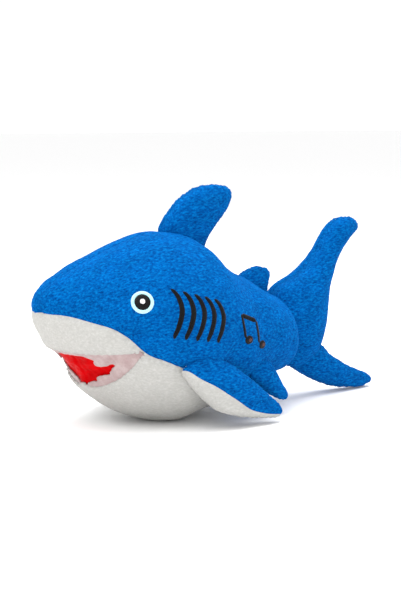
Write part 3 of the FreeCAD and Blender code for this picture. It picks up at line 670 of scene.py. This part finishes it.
# Notches between the teeth, along the body and in height, from the front to the lower end,
# and how far each tooth between two notches swells towards the opening.
NOTCHES = (
    (-92, 51), (-79, 51.4), (-72.1, 48.3), (-64.6, 46.8),
    (-62.7, 45.2), (-62.2, 38.8), (-64, 32.8), (-64.6, 28.6),
)
SWELL = (0, 0.1, 3.5, 0, 0.5, 1.9, 1.4)
# The felt: thickness, height of its face above the lining, and how far it runs past the lips.
FELT_THICK, FELT_RAISED, FELT_TUCKED = 0.95, 1.2, 3.0
# The lining: thickness, and how far it sinks behind the straight line from lip to lip.
LINING_THICK, LINING_SUNK = 0.5, 3.0


def teeth_outline():
    """The felt's outline in the side view: scallops, then the lower lip, then the upper lip."""
    outline = []
    steps = 10
    for (y0, z0), (y1, z1), swell in zip(NOTCHES, NOTCHES[1:], SWELL):
        length = math.hypot(y1 - y0, z1 - z0)
        out_y, out_z = (z1 - z0) / length, -(y1 - y0) / length
        for step in range(steps):
            t = step / steps
            rise = swell * math.sin(math.pi * t) ** 0.75
            outline.append((y0 + (y1 - y0) * t + out_y * rise, z0 + (z1 - z0) * t + out_z * rise))
    outline.append(NOTCHES[-1])
    outline += [(along + FELT_TUCKED, height) for height, along in LOWER_LIP[1:-1]]
    outline.append((CREASE_Y + FELT_TUCKED, CREASE_Z + FELT_TUCKED))
    outline.append((NOTCHES[0][0], CREASE_Z + FELT_TUCKED))
    return np.array(outline)


def inside_outline(outline):
    """A field that is positive inside an outline drawn in the side view."""
    start, end = outline, np.roll(outline, -1, 0)

    def field(points):
        flat = points[:, 1:3]
        nearest = np.full(len(flat), 1e9)
        inside = np.zeros(len(flat), bool)
        for a, b in zip(start, end):
            step = b - a
            t = np.clip(((flat - a) @ step) / max(step @ step, 1e-9), 0, 1)
            nearest = np.minimum(nearest, np.linalg.norm(flat - a - t[:, None] * step, axis=1))
            crosses = (a[1] > flat[:, 1]) != (b[1] > flat[:, 1])
            at = a[0] + (flat[:, 1] - a[1]) * (b[0] - a[0]) / (b[1] - a[1] + 1e-12)
            inside ^= crosses & (flat[:, 0] < at)
        return np.where(inside, nearest, -nearest)

    return field


def mouth_sheet():
    """Fabric drawn tight from lip to lip, sunk a little in the middle, with a few soft folds."""
    upper, lower = [under_skin(lip, 1.8) for lip in lip_curves(0.8)]
    columns, rows = 121, 50
    inward = np.array((0, 0.95, 0.3))

    def along_lip(lip, share):
        return np.array([np.interp(share, np.linspace(0, 1, len(lip)), lip[:, k]) for k in range(3)])

    points = []
    for s in np.sin(np.linspace(-1, 1, columns) * QUARTER):
        at = abs(s)
        side = LEFT if s >= 0 else RIGHT
        high, low = along_lip(upper, at), along_lip(lower, at)
        for t in np.linspace(0, 1, rows):
            slack = math.sin(math.pi * t) * math.cos(QUARTER * at) ** 1.5
            fold = noise.noise(Vector((s * 2.2 + t * 2.0, t * 4.6, 0.7))) * 2.0
            fold += noise.noise(Vector((s * 6.0, t * 9.0 + s * 3, 4.7))) * 0.8
            place = high * (1 - t) + low * t + inward * (LINING_SUNK + fold) * slack
            points.append(place * (side, 1, 1))
    faces = []
    for c in range(columns - 1):
        for r in range(rows - 1):
            faces.append([c * rows + r, c * rows + r + 1, (c + 1) * rows + r + 1, (c + 1) * rows + r])
    return np.array(points), faces


def mouth():
    """The red lining, and the two strips of felt teeth sewn onto it."""
    points, faces = mouth_sheet()
    lining = piece("mouth_pocket", points, faces, MATERIAL["red_satin"], LINING_THICK)
    finished(lining, "torso", ["mouth_lining"])

    raised = points + face_normals(points, faces) * FELT_RAISED
    in_teeth = inside_outline(teeth_outline())
    for side, word in ((LEFT, "left"), (RIGHT, "right")):
        felt, felt_faces = raised, faces
        for field in (in_teeth, lambda p, s=side: s * p[:, 0] - 0.6):
            felt, felt_faces = clip(felt, felt_faces, field)
        strip = piece("teeth_strip_" + word, felt, felt_faces, MATERIAL["felt"], FELT_THICK)
        finished(strip, "torso", ["teeth_" + word])


# ---------------------------------------------------------------- embroidery


def on_trunk(place, outward):
    """The trunk's surface nearest to a place, looking in against the outward direction."""
    outward = Vector(outward).normalized()
    found = trunk_tree.ray_cast(Vector(place) + outward * 30, -outward)
    if found[0] is None:
        found = trunk_tree.find_nearest(Vector(place))
    normal = np.array(found[1])
    return np.array(found[0]), normal * (1 if normal @ np.array(outward) > 0 else -1)


def satin_stroke(line, widths, height, outward, lean=0.35):
    """A raised band of satin stitch along a line, with one slanting rib to each thread."""
    length = np.concatenate([[0], np.cumsum(np.linalg.norm(np.diff(line, axis=0), axis=1))])
    count = int(length[-1] / THREAD * 4)
    around = 9
    root = 0.35
    points, faces = [], []
    for at in np.linspace(0, length[-1], count):
        place = np.array([np.interp(at, length, line[:, k]) for k in range(3)])
        ahead = np.array([np.interp(min(at + 0.4, length[-1]), length, line[:, k]) for k in range(3)])
        behind = np.array([np.interp(max(at - 0.4, 0), length, line[:, k]) for k in range(3)])
        forward = (ahead - behind) / max(np.linalg.norm(ahead - behind), 1e-9)
        _, normal = on_trunk(place, outward)
        across = np.cross(normal, forward)
        across /= np.linalg.norm(across)
        half = np.interp(at, length, widths) / 2
        end = min(1.0, math.sqrt(max(0.02, min(at, length[-1] - at) / (half + 0.1))))
        rib = 0.80 + 0.20 * math.cos(2 * math.pi * at / THREAD)
        for k in range(around):
            angle = math.pi * k / (around - 1)
            shift = math.cos(angle)
            spot = place + across * shift * half * end + forward * shift * lean * half
            base, up = on_trunk(spot, outward)
            rise = -root + (height + root) * math.sin(angle) ** 0.6 * rib * end
            points.append(base + up * rise)
    for n in range(count - 1):
        for k in range(around - 1):
            a, b = n * around + k, (n + 1) * around + k
            faces.append([a, a + 1, b + 1, b])
        this, following = n * around, (n + 1) * around
        faces.append([this + around - 1, this, following, following + around - 1])
    faces.append(list(range(around))[::-1])
    faces.append([(count - 1) * around + k for k in range(around)])
    return points, faces


def joined(parts):
    """Several (points, faces) pairs as one."""
    points, faces = [], []
    for some_points, some_faces in parts:
        faces += [[i + len(points) for i in face] for face in some_faces]
        points += list(some_points)
    return np.array(points), faces


def satin_disc(centre, outward, up, inner, outer, height, rays, turn=0.0, dome=0.25, squeeze=1.0):
    """A disc or ring of satin stitch laid on the trunk, ribbed along its threads.

    A ring's threads are its rays. A disc has rays 0, and its straight threads lie across turn.
    """
    outward = np.array(outward, float) / np.linalg.norm(outward)
    right = np.cross(up, outward)
    right /= np.linalg.norm(right)
    top = np.cross(outward, right)
    rings, turns = 14, 220
    root = 0.3
    points, faces = [], []
    for ring in range(rings + 1):
        share = ring / rings
        radius = inner + (outer - inner) * share
        for step in range(turns):
            angle = 2 * math.pi * step / turns
            a, b = radius * math.cos(angle), radius * math.sin(angle) * squeeze
            base, normal = on_trunk(np.array(centre) + right * a + top * b, outward)
            if rays:
                rib = math.cos(angle * rays)
                edge = math.sin(math.pi * min(1, max(0, share))) ** 0.45
            else:
                rib = math.cos(2 * math.pi * (a * math.cos(turn) + b * math.sin(turn)) / THREAD)
                edge = (1 - share**6) ** 0.5
            raised = height + root + dome * (1 - share**2)
            lift = -root + raised * edge + 0.09 * rib * edge
            points.append(base + normal * lift)
    for ring in range(rings):
        for step in range(turns):
            after = (step + 1) % turns
            a, b = ring * turns, (ring + 1) * turns
            faces.append([a + step, b + step, b + after, a + after])
    if inner == 0:
        faces = faces[turns:]
        centre_number = len(points)
        points.append(np.mean(points[turns:2 * turns], axis=0))
        faces += [[centre_number, turns + k, turns + (k + 1) % turns] for k in range(turns)]
    return points, faces


UP = (0, 0, 1)
# The left eye's middle, the way it looks, and the radii of its ring, its black and its glint.
EYE = (43.6, -49.7, 86.1)
EYE_OUT = (0.85, -0.34, 0.41)
RING_INNER, RING_OUTER, BLACK_RADIUS, GLINT_RADIUS = 4.9, 7.5, 5.55, 1.9
EYE_THICK = 0.4


def mirror_x(place, side):
    """A left place or direction, put on the given side."""
    return (side * place[0], place[1], place[2])


def eyes():
    """Each eye's pale ring, black disc and white glint, one on the other."""
    for side, word in ((LEFT, "left"), (RIGHT, "right")):
        centre, out = mirror_x(EYE, side), mirror_x(EYE_OUT, side)
        spot = np.array(centre) + (0, 0, 0.3)
        ring = satin_disc(centre, out, UP, RING_INNER, RING_OUTER, 0.75, 70, dome=0)
        black = satin_disc(centre, out, UP, 0, BLACK_RADIUS, 0.7, 0, turn=0.3)
        glint = satin_disc(spot, out, UP, 0, GLINT_RADIUS, 1.25, 0, turn=1.4)
        for part, (points, faces), material, node, slot in (
            ("eye_ring_", ring, "pale_thread", "eye_outline_", "pale_blue_thread"),
            ("eye_black_", black, "black_thread", "eye_disc_", "black_thread"),
            ("eye_glint_", glint, "white_thread", "eye_highlight_", "white_thread"),
        ):
            thing = piece(part + word, points, faces, MATERIAL[material], EYE_THICK)
            finished(thing, "torso", [node + word])


GILLS = 5
# The first gill from top to bottom, along the body and in height, and the step to each next one.
GILL_MARKS = ((-30, 93.8), (-27.2, 89), (-26.1, 80.5), (-28.6, 71.5), (-32.9, 62.6))
GILL_STEPS = ((7.4, -2.0), (7.6, -1.9), (7.8, -1.6), (7.8, -1.5), (7.8, -1.2))


def gill_line(number, side):
    """The middle of one gill stitch on the trunk, from top to bottom."""
    marks = []
    for (y, z), (step_y, step_z) in zip(GILL_MARKS, GILL_STEPS):
        marks.append((y + number * step_y, z + number * step_z))
    flat = smooth_line(marks, 0.8)
    return side_of_trunk(flat[:, 0], flat[:, 1], side)


def gills():
    """Five bowed strokes on each side, thickest in the middle and blunter at the foot."""
    for side, word in ((LEFT, "left"), (RIGHT, "right")):
        strokes = []
        for number in range(GILLS):
            line = gill_line(number, side)
            share = np.linspace(0, 1, len(line))
            widths = 1.5 + 2.0 * np.sin(math.pi * share ** 0.8) ** 0.7 + 0.9 * share
            strokes.append(satin_stroke(line, widths, 0.85, (side, 0, 0.1)))
        finished(
            piece("gills_" + word, *joined(strokes), MATERIAL["black_thread"]),
            "torso", ["gill_stitching_" + word],
        )


# The note's beam, the lower ends of its two stems and its two heads, along the body and in height.
NOTE_BEAM = ((22.4, 73.2), (38.6, 67.6))
NOTE_FEET = ((25.4, 57.4), (40.6, 52.4))
NOTE_HEADS = ((28.8, 56.2), (44.6, 51.0))
BEAM_WIDTH, STEM_WIDTHS = 3.4, (2.3, 2.9)
HEAD_RADIUS, HEAD_MIDDLE_RADIUS = 3.9, 1.7
NOTE_OUT = (1, 0.2, 0.1)


def music_note():
    """Two joined notes on the left flank, with a brown spot in each head."""

    def stroke(a, b, width):
        flat = np.array([np.linspace(a[k], b[k], 14) for k in (0, 1)]).T
        line = side_of_trunk(flat[:, 0], flat[:, 1])
        return satin_stroke(line, np.full(len(line), width), 0.75, NOTE_OUT)

    def oval(centre, radius, height, squeeze):
        return satin_disc(centre, NOTE_OUT, UP, 0, radius, height, 0, turn=0.5, squeeze=squeeze)

    strokes = [stroke(NOTE_BEAM[0], NOTE_BEAM[1], BEAM_WIDTH)]
    for foot, end, width in zip(NOTE_FEET, NOTE_BEAM, STEM_WIDTHS):
        strokes.append(stroke((end[0] + 0.3, end[1] + 0.6), foot, width))
    heads = []
    for along, height in NOTE_HEADS:
        centre = side_of_trunk(np.array([along]), np.array([height]))[0]
        strokes.append(oval(centre, HEAD_RADIUS, 0.75, 0.74))
        heads.append(oval(centre, HEAD_MIDDLE_RADIUS, 1.05, 0.9))
    note = piece("music_note", *joined(strokes), MATERIAL["black_thread"])
    finished(note, "torso", ["music_note_stitching"])
    middle = piece("music_note_centres", *joined(heads), MATERIAL["brown_thread"])
    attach(middle, "torso")


# ---------------------------------------------------------------- fins


def pillow_height(outline, pitch=1.0):
    """How far two sewn layers of fabric stand off their middle when they are stuffed.

    A membrane under even pressure gives the height, as a function of the side view.
    """
    low = outline.min(0) - 2 * pitch
    high = outline.max(0) + 2 * pitch
    across = np.arange(low[0], high[0], pitch)
    up = np.arange(low[1], high[1], pitch)
    grid = np.stack(np.meshgrid(across, up, indexing="ij"), -1).reshape(-1, 2)
    flat = np.hstack([np.zeros((len(grid), 1)), grid])
    depth = inside_outline(outline)(flat).reshape(len(across), len(up))
    inside = depth > 0
    height = np.zeros_like(depth)
    rounds = 2500
    for _ in range(rounds):
        around = (
            np.roll(height, 1, 0) + np.roll(height, -1, 0) + np.roll(height, 1, 1) + np.roll(height, -1, 1)
        )
        height = np.where(inside, (around + pitch**2) / 4, 0)

    def read(points):
        a = np.clip((points[:, 0] - low[0]) / pitch, 0, len(across) - 2)
        b = np.clip((points[:, 1] - low[1]) / pitch, 0, len(up) - 2)
        i, j = a.astype(int), b.astype(int)
        fa, fb = a - i, b - j
        found = (
            height[i, j] * (1 - fa) * (1 - fb)
            + height[i + 1, j] * fa * (1 - fb)
            + height[i, j + 1] * (1 - fa) * fb
            + height[i + 1, j + 1] * fa * fb
        )
        return np.sqrt(2 * np.maximum(found, 0))

    return read


def pillow(outline_marks, plump, spacing=1.5):
    """Two layers of fabric sewn along an outline and stuffed.

    Returns the points (across the layers, then the outline's own two axes), the faces of the
    first layer, the faces of the second, and how many of the points lie on the outline.
    """
    outline = smooth_line(outline_marks, spacing * 0.8, closed=True)
    depth = inside_outline(outline)
    low, high = outline.min(0), outline.max(0)
    rows = np.arange(low[1], high[1], spacing * 0.87)
    inner = []
    for n, row in enumerate(rows):
        shift = spacing / 2 if n % 2 else 0
        for column in np.arange(low[0] + shift, high[0], spacing):
            inner.append((column, row))
    inner = np.array(inner)
    clear = depth(np.hstack([np.zeros((len(inner), 1)), inner]))
    inner = inner[clear > spacing * 0.75]
    flat = np.vstack([outline, inner])
    edge = len(outline)
    loop = [(k, (k + 1) % edge) for k in range(edge)]
    made = geometry.delaunay_2d_cdt([Vector(p) for p in flat], loop, [], 1, 1e-5)
    flat = np.array([tuple(v) for v in made[0]])
    triangles = [list(f) for f in made[2]]
    height = pillow_height(outline)(flat) * plump
    height[:edge] = 0
    count = len(flat)
    first = np.column_stack([height, flat])
    second = np.column_stack([-height, flat])
    points = np.vstack([first, second])
    second_faces = [[(i if i < edge else i + count) for i in f][::-1] for f in triangles]
    return points, triangles, second_faces, edge


def seam_pinch(points, upper, lower, edge, depth=0.9, reach=1.7):
    """Draws the sewn outline in, so that both layers bulge past it."""
    normals = face_normals(points, upper + lower)
    tree = KDTree(edge)
    for k in range(edge):
        tree.insert(points[k], k)
    tree.balance()
    gap = np.array([tree.find(p)[2] for p in points])
    spot = np.array([tree.find(p)[1] for p in points], float)
    pucker = 1 + 0.3 * np.sin(spot * 1.9) + 0.25 * np.sin(spot * 0.77)
    sink = depth * np.exp(-((gap / reach) ** 2)) * np.clip(pucker, 0.4, 1.6)
    lumps = ripple(points, 13, 4.2) * 0.55 + ripple(points * (1, 0.6, 0.6), 1.9, 2.2) * 0.12
    return points + normals * (lumps * np.clip(gap / 4, 0, 1) - sink)[:, None]


# The fins' outlines in the side view, along the body and in height.
DORSAL = (
    (4, 112), (-1, 118), (-4, 125), (-1.5, 132), (4, 139.5), (10.5, 146), (19, 151.8), (27, 155.4),
    (36, 157), (46, 156.8), (54, 155), (57.6, 151), (56.8, 146), (53.6, 139.5), (49, 134),
    (43.4, 129.2), (38, 123.6), (33.6, 117), (31.6, 109), (30, 100), (16, 99),
)
REAR_DORSAL = (
    (62, 84), (64, 91), (69, 95), (76, 98), (83, 98.4), (89.5, 96.6), (92.6, 93), (91.8, 88), (90, 80),
    (87, 72), (76, 72), (67, 76),
)
TAIL = (
    (91, 60), (93, 76), (101, 83.5), (109, 87), (118, 90.5), (125, 95), (131, 100.5), (137, 107),
    (142, 114.5), (148, 122), (155, 127.6), (163, 130), (171, 129.4), (176, 126), (178, 121.5),
    (174.5, 116.8), (169, 114), (162.5, 107.5), (156, 98.5), (150, 87), (145.5, 74), (143.5, 60),
    (141.5, 47), (138, 37), (132, 29), (122, 23), (108, 23), (96, 32), (91, 45),
)
LOBE = (
    (128, 44), (136, 40), (143, 36), (149, 30), (157, 25.5), (167, 20), (178, 15.5), (188, 11.5),
    (193.5, 8), (195, 4.8), (192, 1.8), (186, 0.6), (176, 0.4), (164, 1.2), (152, 3.6), (141, 7.5),
    (130, 12.5), (120, 18), (112, 25), (114, 34), (120, 41),
)
PECTORAL = (
    (-27, 41), (-21, 31.5), (-9, 18.3), (-1, 12.5), (8.5, 9), (19.5, 6.3), (32.4, 4.4), (42.6, 3.4),
    (49, 3.8), (51.5, 7.2), (48.5, 12.8), (41.5, 19.4), (35.5, 24), (25.5, 32.4), (17, 39),
    (9.5, 43.8), (1, 48), (-5, 50), (-12, 49.4), (-19, 46.5),
)
PELVIC = (
    (36, 33), (42, 38), (50, 40.5), (57, 38), (61.5, 32), (65, 26), (68.6, 20), (72, 15), (72.4, 11.4),
    (68, 9.6), (60, 12.4), (51, 17.8), (43, 22.6), (37, 27.6),
)


def drop_loose(thing):
    """Removes points that no face uses."""
    made = bmesh.new()
    made.from_mesh(thing.data)
    loose = [v for v in made.verts if not v.link_faces]
    bmesh.ops.delete(made, geom=loose, context="VERTS")
    made.to_mesh(thing.data)
    made.free()


def sewn_fin(name, layers, whole, filling_node):
    """A fin's two panels and the filling between them.

    Each layer is (word, points, faces, material, the CAD node it stands for, slot). whole holds
    the points and faces of both layers together.
    """
    points, faces = whole
    inner = points - face_normals(points, faces) * (SKIN + 0.6)
    filling = ("filling", inner, faces, "stuffing", filling_node, "stuffing")
    for word, points, faces, material, node, slot in (*layers, filling):
        thick = 0 if word == "filling" else SKIN
        thing = piece(name + "_" + word, points, faces, MATERIAL[material], thick)
        drop_loose(thing)
        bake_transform(thing)
        finished(thing, None, [node])


# Where each fin's root starts and ends its bend.
DORSAL_BEND = ((0, 12, 119), (0, 18, 131))
REAR_DORSAL_BEND = ((0, 78.5, 81), (0, 82, 88))
TAIL_BEND = ((0, 99, 54), (0, 112, 54))
LOBE_BEND = ((0, 124, 33), (0, 138, 25))


def centre_fins():
    """The fins in the shark's middle plane."""
    # Name, outline, plumpness, body, parent, bend and the pile's finish.
    plans = (
        ("dorsal", DORSAL, 0.62, "dorsal_fin", "torso", DORSAL_BEND, "blue_dorsal"),
        ("rear_dorsal", REAR_DORSAL, 0.62, "rear_dorsal_fin", "torso", REAR_DORSAL_BEND, "blue_dorsal"),
        ("tail_fin", TAIL, 0.90, "tail", "torso", TAIL_BEND, "blue_tail"),
        ("lower_lobe", LOBE, 0.86, "lower_tail_lobe", "tail", LOBE_BEND, "blue_fin"),
    )
    for name, marks, plump, body, parent, (start, end), finish in plans:
        points, upper, lower, edge = pillow(marks, plump)
        points = seam_pinch(points, upper, lower, edge)
        layers = [
            ("left", points, upper, finish, body + "_panel_left", "blue_plush"),
            ("right", points, lower, finish, body + "_panel_right", "blue_plush"),
        ]
        whole = (points, upper + lower)
        sewn_fin(name, layers, whole, body + "_stuffing")


# Where a paired fin's middle plane lies: a point of it, and its outward direction.
PECTORAL_PLANE = ((57.5, 18, 27), (0.965, 0.02, 0.26))
PELVIC_PLANE = ((43.5, 62, 22), (0.96, 0.12, 0.2))
# The seam between blue and white on the pectoral fin, along the body and in height.
PECTORAL_SEAM = np.array([
    (-29, 43), (-24, 40), (-18.7, 35.4), (-8, 28.6), (4.3, 20.4), (17.8, 11.8), (31, 7.6), (56, 4.4),
])


def over_pectoral_seam(points):
    """Height above the pectoral seam of points whose side view is in columns 4 and 5."""
    along = np.clip(points[:, 4], PECTORAL_SEAM[0, 0], PECTORAL_SEAM[-1, 0])
    return points[:, 5] - hermite(PECTORAL_SEAM[:, 0], PECTORAL_SEAM[:, 1], along)


def lay_on_plane(points, plane, side):
    """Turns a fin drawn in the side view onto its own tilted plane beside the trunk."""
    centre, out = plane
    out = np.array(out) / np.linalg.norm(out)
    y, z = points[:, 1], points[:, 2]
    x = centre[0] - ((y - centre[1]) * out[1] + (z - centre[2]) * out[2]) / out[0]
    placed = np.column_stack([x, y, z]) + points[:, :1] * out
    floor_clearance = 0.15
    resting = 0.5 * (placed[:, 2] + np.sqrt(placed[:, 2] ** 2 + 2)) - 0.3
    placed[:, 2] = np.maximum(np.maximum(placed[:, 2], resting), floor_clearance)
    placed[:, 0] *= side
    return placed


def paired_fins():
    """The pectoral fins, blue over white, and the blue pelvic fins behind them."""
    for side, word in ((LEFT, "left"), (RIGHT, "right")):
        flip = (lambda faces: faces) if side == LEFT else (lambda faces: [f[::-1] for f in faces])
        points, upper, lower, edge = pillow(PECTORAL, 0.66)
        points = seam_pinch(points, upper, lower, edge, 0.5)
        placed = lay_on_plane(points, PECTORAL_PLANE, side)
        both = np.hstack([placed, points])
        blue_points, blue_faces = clip(both, flip(upper), over_pectoral_seam)
        rim_points, rim_faces = clip(both, flip(upper), lambda p: -over_pectoral_seam(p))
        white_points, white_faces = joined([(rim_points, rim_faces), (both, flip(lower))])
        panel_name = "pectoral_fin_%s_panel_" + word
        layers = [
            ("top", blue_points[:, :3], blue_faces, "blue_fin", panel_name % "top", "blue_plush"),
            ("under", white_points[:, :3], white_faces, "white", panel_name % "under", "white_plush"),
        ]
        sewn_fin(
            "pectoral_" + word, layers, (placed, flip(upper) + flip(lower)),
            "pectoral_fin_stuffing_" + word,
        )
        points, upper, lower, edge = pillow(PELVIC, 0.62, 1.3)
        points = seam_pinch(points, upper, lower, edge, 0.6)
        placed = lay_on_plane(points, PELVIC_PLANE, side)
        panel_name = "pelvic_fin_%s_panel_" + word
        layers = [
            ("top", placed, flip(upper), "blue_fin", panel_name % "top", "blue_plush"),
            ("under", placed, flip(lower), "blue_fin", panel_name % "under", "blue_plush"),
        ]
        sewn_fin(
            "pelvic_" + word, layers, (placed, flip(upper) + flip(lower)),
            "pelvic_fin_stuffing_" + word,
        )


# ---------------------------------------------------------------- CAD pieces that stay

SLOT_MATERIAL = {
    "blue_plush": "blue_body",
    "white_plush": "white",
    "red_satin": "red_satin",
    "pale_felt": "felt",
    "pale_blue_thread": "pale_thread",
    "black_thread": "black_thread",
    "white_thread": "white_thread",
    "stuffing": "stuffing",
    "closure_tape": "tape",
    "pouch_cloth": "pouch",
    "module_plastic": "module",
    "button_plastic": "button",
    "steel": "steel",
    "board": "board",
    "speaker_plastic": "speaker",
}


def finish_cad_nodes():
    """Gives every CAD node that still shows the procedural finish of its slot."""
    for row in frame["record"]["subparts"]:
        node = frame["nodes"][row["node"]]
        if not node.hide_render:
            node.data.materials.clear()
            node.data.materials.append(MATERIAL[SLOT_MATERIAL[row["material_slot"]]])


# ---------------------------------------------------------------- floor, light and camera


def studio():
    """A pale floor under an even white sky, and three soft lamps, most of their light from above."""
    floor_mesh = bpy.data.meshes.new("Floor")
    reach = 12.0
    corners = [(-reach, -reach, 0), (reach, -reach, 0), (reach, reach, 0), (-reach, reach, 0)]
    floor_mesh.from_pydata(corners, [], [(0, 1, 2, 3)])
    floor = bpy.data.objects.new("Floor", floor_mesh)
    bpy.context.scene.collection.objects.link(floor)
    material, _, _, shader = nodes_of("PaleFloor")
    shader.inputs["Base Color"].default_value = linear(250, 250, 250)
    surface(shader, 0.9)
    floor.data.materials.append(material)

    world = bpy.data.worlds.new("Studio")
    world.use_nodes = True
    world.node_tree.nodes["Background"].inputs["Color"].default_value = (1, 1, 1, 1)
    world.node_tree.nodes["Background"].inputs["Strength"].default_value = 1.02
    bpy.context.scene.world = world
    bpy.context.scene.view_settings.view_transform = "Standard"

    # Name, place, width and power.
    lights = (
        ("Key", (0.15, -0.9, 1.5), 1.2, 17.0),
        ("Fill", (1.5, -0.5, 0.6), 1.2, 2.0),
        ("Top", (-0.1, 0.35, 1.5), 1.2, 21.0),
    )
    for name, place, width, power in lights:
        data = bpy.data.lights.new(name, "AREA")
        data.size = width
        data.energy = power
        lamp = bpy.data.objects.new(name, data)
        lamp.location = place
        lamp.rotation_mode = "QUATERNION"
        lamp.rotation_quaternion = (Vector((0, 0.02, 0.06)) - Vector(place)).to_track_quat("-Z", "Y")
        bpy.context.scene.collection.objects.link(lamp)


def camera():
    """A long lens from the left front, a little above the back."""
    target = Vector((0, 0.031, 0.077))
    azimuth, elevation, distance = math.radians(52), math.radians(7), 1.050
    back = Vector((
        math.sin(azimuth) * math.cos(elevation),
        -math.cos(azimuth) * math.cos(elevation),
        math.sin(elevation),
    ))
    data = bpy.data.cameras.new("Camera")
    data.lens = 91.6
    data.sensor_width = 36
    eye = bpy.data.objects.new("Camera", data)
    eye.location = target + back * distance
    eye.rotation_mode = "QUATERNION"
    eye.rotation_quaternion = (-back).to_track_quat("-Z", "Y")
    bpy.context.scene.collection.objects.link(eye)
    bpy.context.scene.camera = eye


trunk_panels()
mouth()
eyes()
gills()
music_note()
centre_fins()
paired_fins()
finish_cad_nodes()
studio()
camera()
